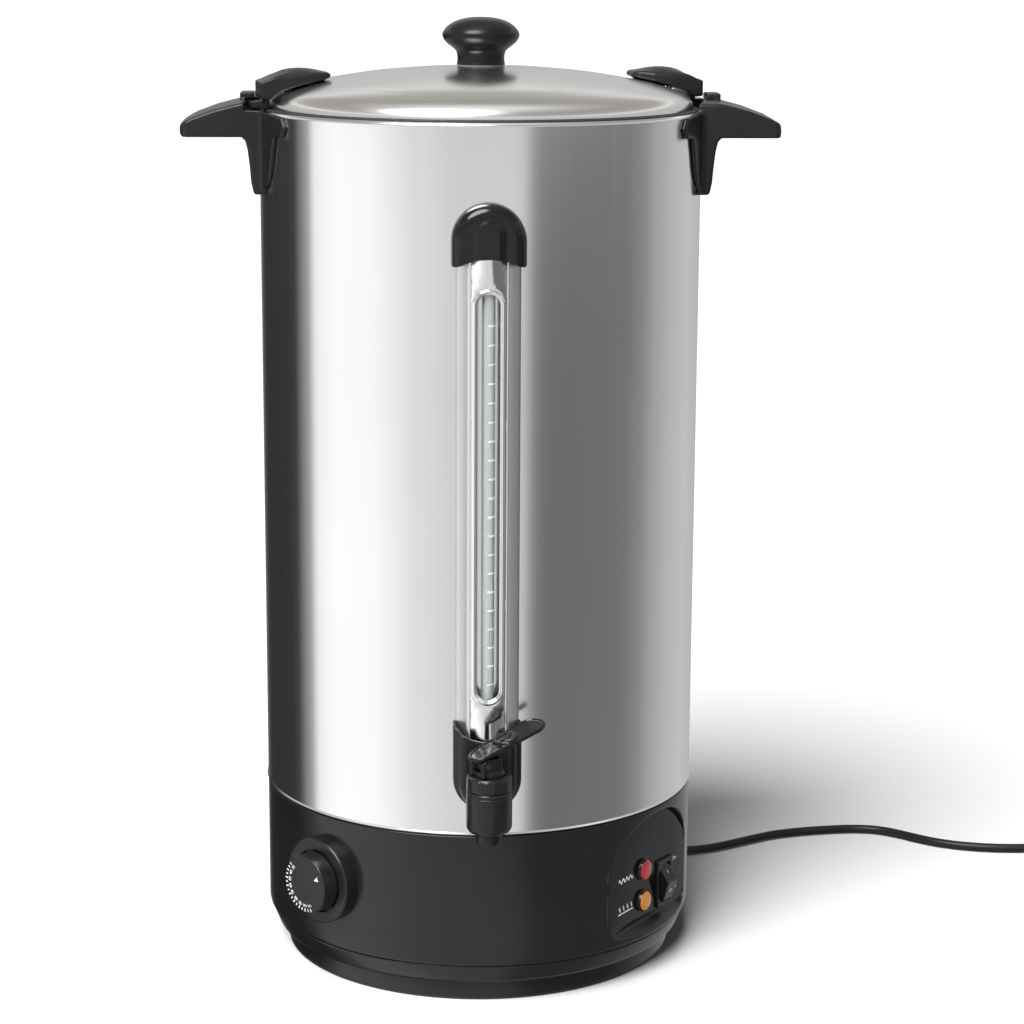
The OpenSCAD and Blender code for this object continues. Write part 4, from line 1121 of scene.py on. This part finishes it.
merge(bottom)
bottom.data.set_sharp_from_angle(angle=rad(35))

# ------------------------------------------------------------------ control panel
LX, LH, LL, RX, RZ = -7.3, 78.1, 54.4, 23.0, 60.0
holes = [circle(LX, LH, 6.2), circle(LX, LL, 6.2), rrect(RX, RZ, 9, 16.2, 0.6)]
face, tr = cdt_fill([arch(0.9)] + holes)
v1 = np.stack([face[:, 0], np.full(len(face), -PD), face[:, 1]], 1)
edge = [[(x, -PD, z) for x, z in arch(0.9)], [(x, -(PD - 0.04), z) for x, z in arch(0.65)], [(x, -(PD - 0.16), z) for x, z in arch(0.42)], [(x, -(PD - 0.4), z) for x, z in arch(0.26)], [(x, -(PD - 0.7), z) for x, z in arch(0.2)],
        [(x, -(PD - 2.4), z) for x, z in arch(0.2)]]
ws = [walls(edge)]
for lp in holes:
    ws.append(walls([[(x, -PD, z) for x, z in lp], [(x, -(PD - 2.4), z) for x, z in lp]]))
back = [(v1 + np.array([0, 2.4, 0]), tr)]
v, f, _ = join((v1, tr), *ws)
panel = add_mesh("panel_plate", turned(v, PAZ), f, "urn", "panel_gloss", ["control_panel"], sharp=0)
merge(panel, outward=lambda c: Vector((math.sin(rad(PAZ)), -math.cos(rad(PAZ)), 0)))
panel.data.set_sharp_from_angle(angle=rad(40))


def lamp(name, z, mat, node):
    prof = rounded([(6.1, 144.5), (6.1, 148.5, 0), (8.2, 148.52, 0.1), (8.2, 150.2, 0.6), (7.5, 150.7, 0.3), (7.35, 151.6, 0.8), (6.3, 152.8, 1.2), (4.2, 153.25, 1.5), (0, 153.3)], step=10)
    prof[-1] = (0, 153.3)
    v, f = spin(prof, 120, closed=False)
    a = np.arctan2(v[:, 1], v[:, 0])
    r = np.hypot(v[:, 0], v[:, 1])
    w = np.clip((v[:, 2] - 150.8) / 0.5, 0, 1) * np.clip((r - 2.0) / 2.5, 0, 1)
    k = 1 - 0.022 * w * (1 - np.abs(np.cos(a * 6)))
    v[:, 0] *= k
    v[:, 1] *= k
    v[:, 2] -= 0.25 * w * (1 - np.abs(np.cos(a * 6))) * np.clip((6.6 - r) / 3, 0, 1)
    rr = [max(r[list(q)].mean() - 0, 0) for q in f]
    ob = add_mesh(name, facing(PAZ, LX, z)(v), f, "urn", mat, [node], sharp=35, mats=[mat, "lamp_rim"], index=[1 if q > 7.2 else 0 for q in rr])
    fix_normals(ob)
    return ob


lamp("lamp_upper", LH, "lamp_red", "red_lamp")
lamp("lamp_lower", LL, "lamp_amber", "amber_lamp")

sec = []
for hw, hh, r, o in ((10.5, 18, 1.2, 148.5), (10.5, 18, 1.2, 149.9), (10.42, 17.92, 1.15, 150.2), (10.2, 17.7, 1.0, 150.42), (9.9, 17.4, 0.9, 150.5), (7.45, 14.85, 0.9, 150.5), (7.15, 14.55, 0.7, 150.42), (7.02, 14.42, 0.6, 150.2),
                     (7.0, 14.4, 0.6, 149.9), (7.0, 14.4, 0.6, 141.6), (8.8, 16, 0.8, 141.6), (8.8, 16, 0.8, 148.6)):
    sec.append([(x, -o, z) for x, z in rrect(RX, RZ, hw, hh, r, 6)])
v, f = walls(sec)
sf = add_mesh("rocker_frame", turned(v, PAZ), f, "urn", "rocker_gloss", ["switch_frame"], sharp=40)
merge(sf, dist=0.000001)

roof = poly2([(-4, -9), (-4, 9), (1.5, 13.3), (3.2, 13.4), (9.4, 1), (10, 0), (9.4, -1), (3.2, -13.4), (1.5, -13.3)])


def rocker_field(x, y, z):
    d = smax(roof(-y, z), np.abs(x) - 6.7, 0.9)
    return d


def rocker_place(v):
    c, s = math.cos(rad(10)), math.sin(rad(10))
    w = v.copy()
    w[:, 1] = v[:, 1] * c + v[:, 2] * s - (PD - 1)
    w[:, 2] = -v[:, 1] * s + v[:, 2] * c + RZ
    w[:, 0] = v[:, 0] + RX
    return turned(w, PAZ)


field_piece("rocker", rocker_field, (-8, -12, -15), (8, 6, 15), 0.4, "rocker", "rocker_gloss", ["switch_rocker"], rocker_place)


def on_slope(sign):
    """Frame on a rocker half: marks lie on its sloping face, drawn (x, up) round the face's middle."""
    a, b = np.array([9.4, 1.0]), np.array([3.2, 13.4])
    mid = (a + b) / 2
    along = (b - a) / np.linalg.norm(b - a)
    nrm = np.array([along[1], -along[0]])

    def go(pts, lift):
        out = []
        for x, u in pts:
            q = mid + along * (u * sign) + nrm * lift
            out.append((x, -q[0], q[1] * sign))
        return np.array(out)
    return go


def ring_mark(r0, r1, go, n=36, lift=0.06):
    rows = [go(circle(0, 0, r, n), l) for r, l in ((r0, -0.05), (r0, lift), (r1, lift), (r1, -0.05))]
    return walls(rows)


def bar_mark(hw, hh, go, lift=0.06):
    rows = [go(rrect(0, 0, a, b, 0.12, 3), l) for a, b, l in ((hw, hh, -0.05), (hw, hh, lift))]
    v, f = walls(rows)
    n = len(rows[0])
    return v, f + [tuple(range(n, 2 * n))]


v1, f1 = ring_mark(1.15, 1.6, on_slope(-1))
v2, f2 = bar_mark(0.24, 1.6, on_slope(1))
v, f, _ = join((v1, f1), (v2, f2))
rm = add_mesh("rocker_marks", rocker_place(v), f, "rocker", "print_pale", sharp=40)
fix_normals(rm)


def lettering(name, items, body, place, mat="print_white", lift=0.05, depth=0.06):
    """Flat lettering: items are (text, size mm, x, z, turn). place puts (x, -depth, z) points on the part; lift is not
    used.
    """
    vs, fs, base = [], [], 0
    for text, size, x, z, turn in items:
        cu = bpy.data.curves.new("tmp", "FONT")
        cu.body = text
        cu.size = size
        cu.align_x = "CENTER"
        cu.align_y = "CENTER"
        cu.offset = size * 0.012
        cu.resolution_u = 3
        ob = bpy.data.objects.new("tmp", cu)
        scene.collection.objects.link(ob)
        bpy.context.view_layer.update()
        me = bpy.data.meshes.new_from_object(ob.evaluated_get(bpy.context.evaluated_depsgraph_get()))
        co = np.array([q.co[:] for q in me.vertices])
        c, s = math.cos(rad(turn)), math.sin(rad(turn))
        px = co[:, 0] * c - co[:, 1] * s + x
        pz = co[:, 0] * s + co[:, 1] * c + z
        vs.append(np.stack([px, np.full(len(px), -depth), pz], 1))
        fs += [tuple(i + base for i in p.vertices) for p in me.polygons]
        base += len(co)
        bpy.data.objects.remove(ob)
        bpy.data.curves.remove(cu)
        bpy.data.meshes.remove(me)
    v = np.concatenate(vs)
    ob = add_mesh(name, place(v), fs, body, mat, sharp=0)
    return ob


def on_panel(v):
    w = v.copy()
    w[:, 1] -= PD
    return turned(w, PAZ)


lettering("panel_marks", [("ON", 3.6, 38.6, 73.4, 0), ("OFF", 3.6, 39.4, 50.6, 0)], "urn", on_panel)


def ribbon(pts, w):
    """Flat line of even width along (x, z) points."""
    p = np.array(pts, float)
    t = np.gradient(p, axis=0)
    t /= np.linalg.norm(t, axis=1)[:, None]
    n = np.stack([-t[:, 1], t[:, 0]], 1) * w / 2
    a, b = p + n, p - n
    v = [(q[0], -0.06, q[1]) for q in a] + [(q[0], -0.06, q[1]) for q in b]
    k = len(p)
    return v, [(i, i + 1, k + i + 1, k + i) for i in range(k - 1)]


# heating: a wavy element. keeping warm: three short waves over a bar
u = np.linspace(0, 1, 61)
marks_p = [ribbon(np.stack([-40.5 + 20 * u, 77.2 + 1.5 * np.sin(u * 2 * math.pi * 4)], 1), 1.0)]
for k in range(4):
    w = np.linspace(0, 1, 21)
    marks_p.append(ribbon(np.stack([-38.6 + 5.4 * k + 0.6 * np.sin(w * 2 * math.pi), 54.4 + 3.6 * w], 1), 0.9))
marks_p.append(ribbon(np.stack([-40.6 + 20.5 * u, np.full(61, 52.6)], 1), 0.9))
v, f, _ = join(*marks_p)
add_mesh("lamp_marks", on_panel(v), f, "urn", "print_white", sharp=0)

# ------------------------------------------------------------------ thermostat dial
DZ, DAZ = 80.0, -46.0
prof = rounded([(3.4, 158.6, 0), (3.4, 163.1, 0), (22.9, 163.1, 0), (22.9, 164.6, 0.2), (22.9, 166.2, 0.35), (30.0, 166.2, 0.25), (31, 165.3, 0.5), (31, 160, 0.3), (31, 150, 0)], step=14)
v, f = spin(prof, 160, closed=False)
bz = add_mesh("dial_ring", facing(DAZ, 0, DZ)(v), f, "urn", "dial_plastic", ["thermostat_bezel"], sharp=35)
fix_normals(bz)
prof = rounded([(3.0, 165.1, 0), (21.4, 165.1, 0.3), (21.6, 167.6, 0.5), (21.3, 168.4, 0.4), (20.9, 177.1, 0.6), (20.4, 177.8, 0.4), (0, 177.8)], step=12)
prof[-1] = (0, 177.8)
n = 240
v, f = spin(prof, n, closed=False)
kn = add_mesh("dial_grip", facing(DAZ, 0, DZ)(v), f, "temperature_knob", "dial_plastic", ["thermostat_knob"], sharp=35)
fix_normals(kn)


def clock(r, deg):
    return r * math.sin(rad(deg)), r * math.cos(rad(deg))


def on_dial(out):
    def go(v):
        w = v.copy()
        w[:, 1] -= out
        w[:, 2] += DZ
        return turned(w, DAZ)
    return go


items = []
for i, num in enumerate(range(30, 120, 10)):
    deg = 311 - 18.8 * i
    x, z = clock(15.4, deg)
    items.append((str(num), 3.3 if num < 100 else 2.8, x, z, -deg))
lettering("dial_numbers", items, "temperature_knob", on_dial(177.8))
vs = []
for i in range(17):
    deg = 311 - 9.4 * i
    r0, r1 = (17.9, 19.7) if i % 2 else (17.6, 20.0)
    t = 0.42
    pts = []
    for r, sgn in ((r0, -1), (r1, -1), (r1, 1), (r0, 1)):
        x, z = clock(r, deg)
        pts.append((x + sgn * t * math.cos(rad(deg)), -0.06, z - sgn * t * math.sin(rad(deg))))
    vs.append((pts, [(0, 1, 2, 3)]))
v, f, _ = join(*vs)
add_mesh("dial_ticks", on_dial(177.8)(v), f, "temperature_knob", "print_white", sharp=0)
# index line at the top of the ring, and the pointer on the knob
pts = [(1.5, -0.05, 23.4), (2.8, -0.05, 23.4), (3.3, -0.05, 30.0), (1.9, -0.05, 30.0)]
add_mesh("dial_index", on_dial(166.2)(np.array(pts)), [(0, 1, 2, 3)], "urn", "inner_black", sharp=0)
tri3 = []
for r, dd in ((11.0, 0), (15.8, 6.5), (14.9, 0), (15.8, -6.5)):
    x, z = clock(r, 62 + dd)
    tri3.append((x, -0.06, z))
add_mesh("dial_pointer", on_dial(177.8)(np.array(tri3)), [(0, 1, 2), (0, 2, 3)], "temperature_knob", "print_white", sharp=0)

# ------------------------------------------------------------------ cord gland, plug
pts = [(3.55, 150.9), (8.2, 151, 0.4), (8.2, 154.5, 0.3), (6.0, 154.6), (6.0, 158), (8.4, 158.0, 0.4), (8.4, 161.2, 0.8), (7.2, 161.8, 0.4)]
o, r = 163.0, 7.0
for i in range(7):
    w = 7.0 - 2.4 * (o - 161.5) / 28.5
    pts += [(w, o, 0.35), (w - 0.05, o + 1.9, 0.35), (w - 1.15, o + 2.3, 0.3), (w - 1.2, o + 3.3, 0.3)]
    o += 3.7
pts += [(4.75, 189.0, 0.4), (4.5, 189.9, 0.4), (3.55, 189.9)]
v, f = spin(rounded(pts, step=20), 64, closed=False)
gl = add_mesh("strain_relief", facing(160, 0, 40)(v), f, "urn", "rubber_black", ["cord_gland"], sharp=40)
fix_normals(gl)


def plug_place(v):
    w = np.empty_like(v)
    w[:, 0] = 558 + v[:, 0]
    w[:, 1] = 66 - v[:, 2]
    w[:, 2] = 18.5 + v[:, 1]
    return w


pts = [(3.4, -0.0), (4.6, 0.2, 0.4)]
for i in range(5):
    w = 4.8 + 1.6 * i / 4
    pts += [(w, 1.2 + 4 * i, 0.4), (w + 0.1, 3.4 + 4 * i, 0.4), (w - 1.0, 3.8 + 4 * i, 0.2), (w - 1.0, 4.8 + 4 * i, 0.2)]
pts += [(6.6, 22.4, 1), (8.4, 24, 1.5), (13, 30, 5), (15.4, 38, 5), (15.9, 49.4, 1.5), (16.6, 51.8, 1.0), (18.4, 53.2, 1.0), (18.4, 66.6, 1.6), (16.6, 68, 0.6), (0, 68)]
prof = rounded(pts, step=15)
prof[-1] = (0, 68)
v, f = spin(prof, 120, closed=False)
a = np.arctan2(v[:, 1], v[:, 0])
w = np.clip((v[:, 2] - 26) / 3, 0, 1) * np.clip((50 - v[:, 2]) / 2, 0, 1)
k = 1 - 0.035 * w * np.clip(np.cos(a * 16) * 2, 0, 1)
v[:, 0] *= k
v[:, 1] *= k
pl = add_mesh("mains_plug", plug_place(v), f, "urn", "plug_plastic", ["power_plug"], sharp=35)
fix_normals(pl)
vs = []
for s in (-1, 1):
    prof = [(2.4, 67.5), (2.4, 86.2), (2.25, 86.7), (1.9, 86.95), (0, 87)]
    v, f = spin(prof, 40, closed=False)
    v[:, 0] += s * 9.5
    vs.append((v, f))
v, f, _ = join(*vs)
pn = add_mesh("mains_pins", plug_place(v), f, "urn", "brass", ["plug_pins"], sharp=35)
fix_normals(pn)


# ------------------------------------------------------------------ finish
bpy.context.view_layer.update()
for ob in (cord, pl, pn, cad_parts["cord_tie"]):
    ob.visible_glossy = False
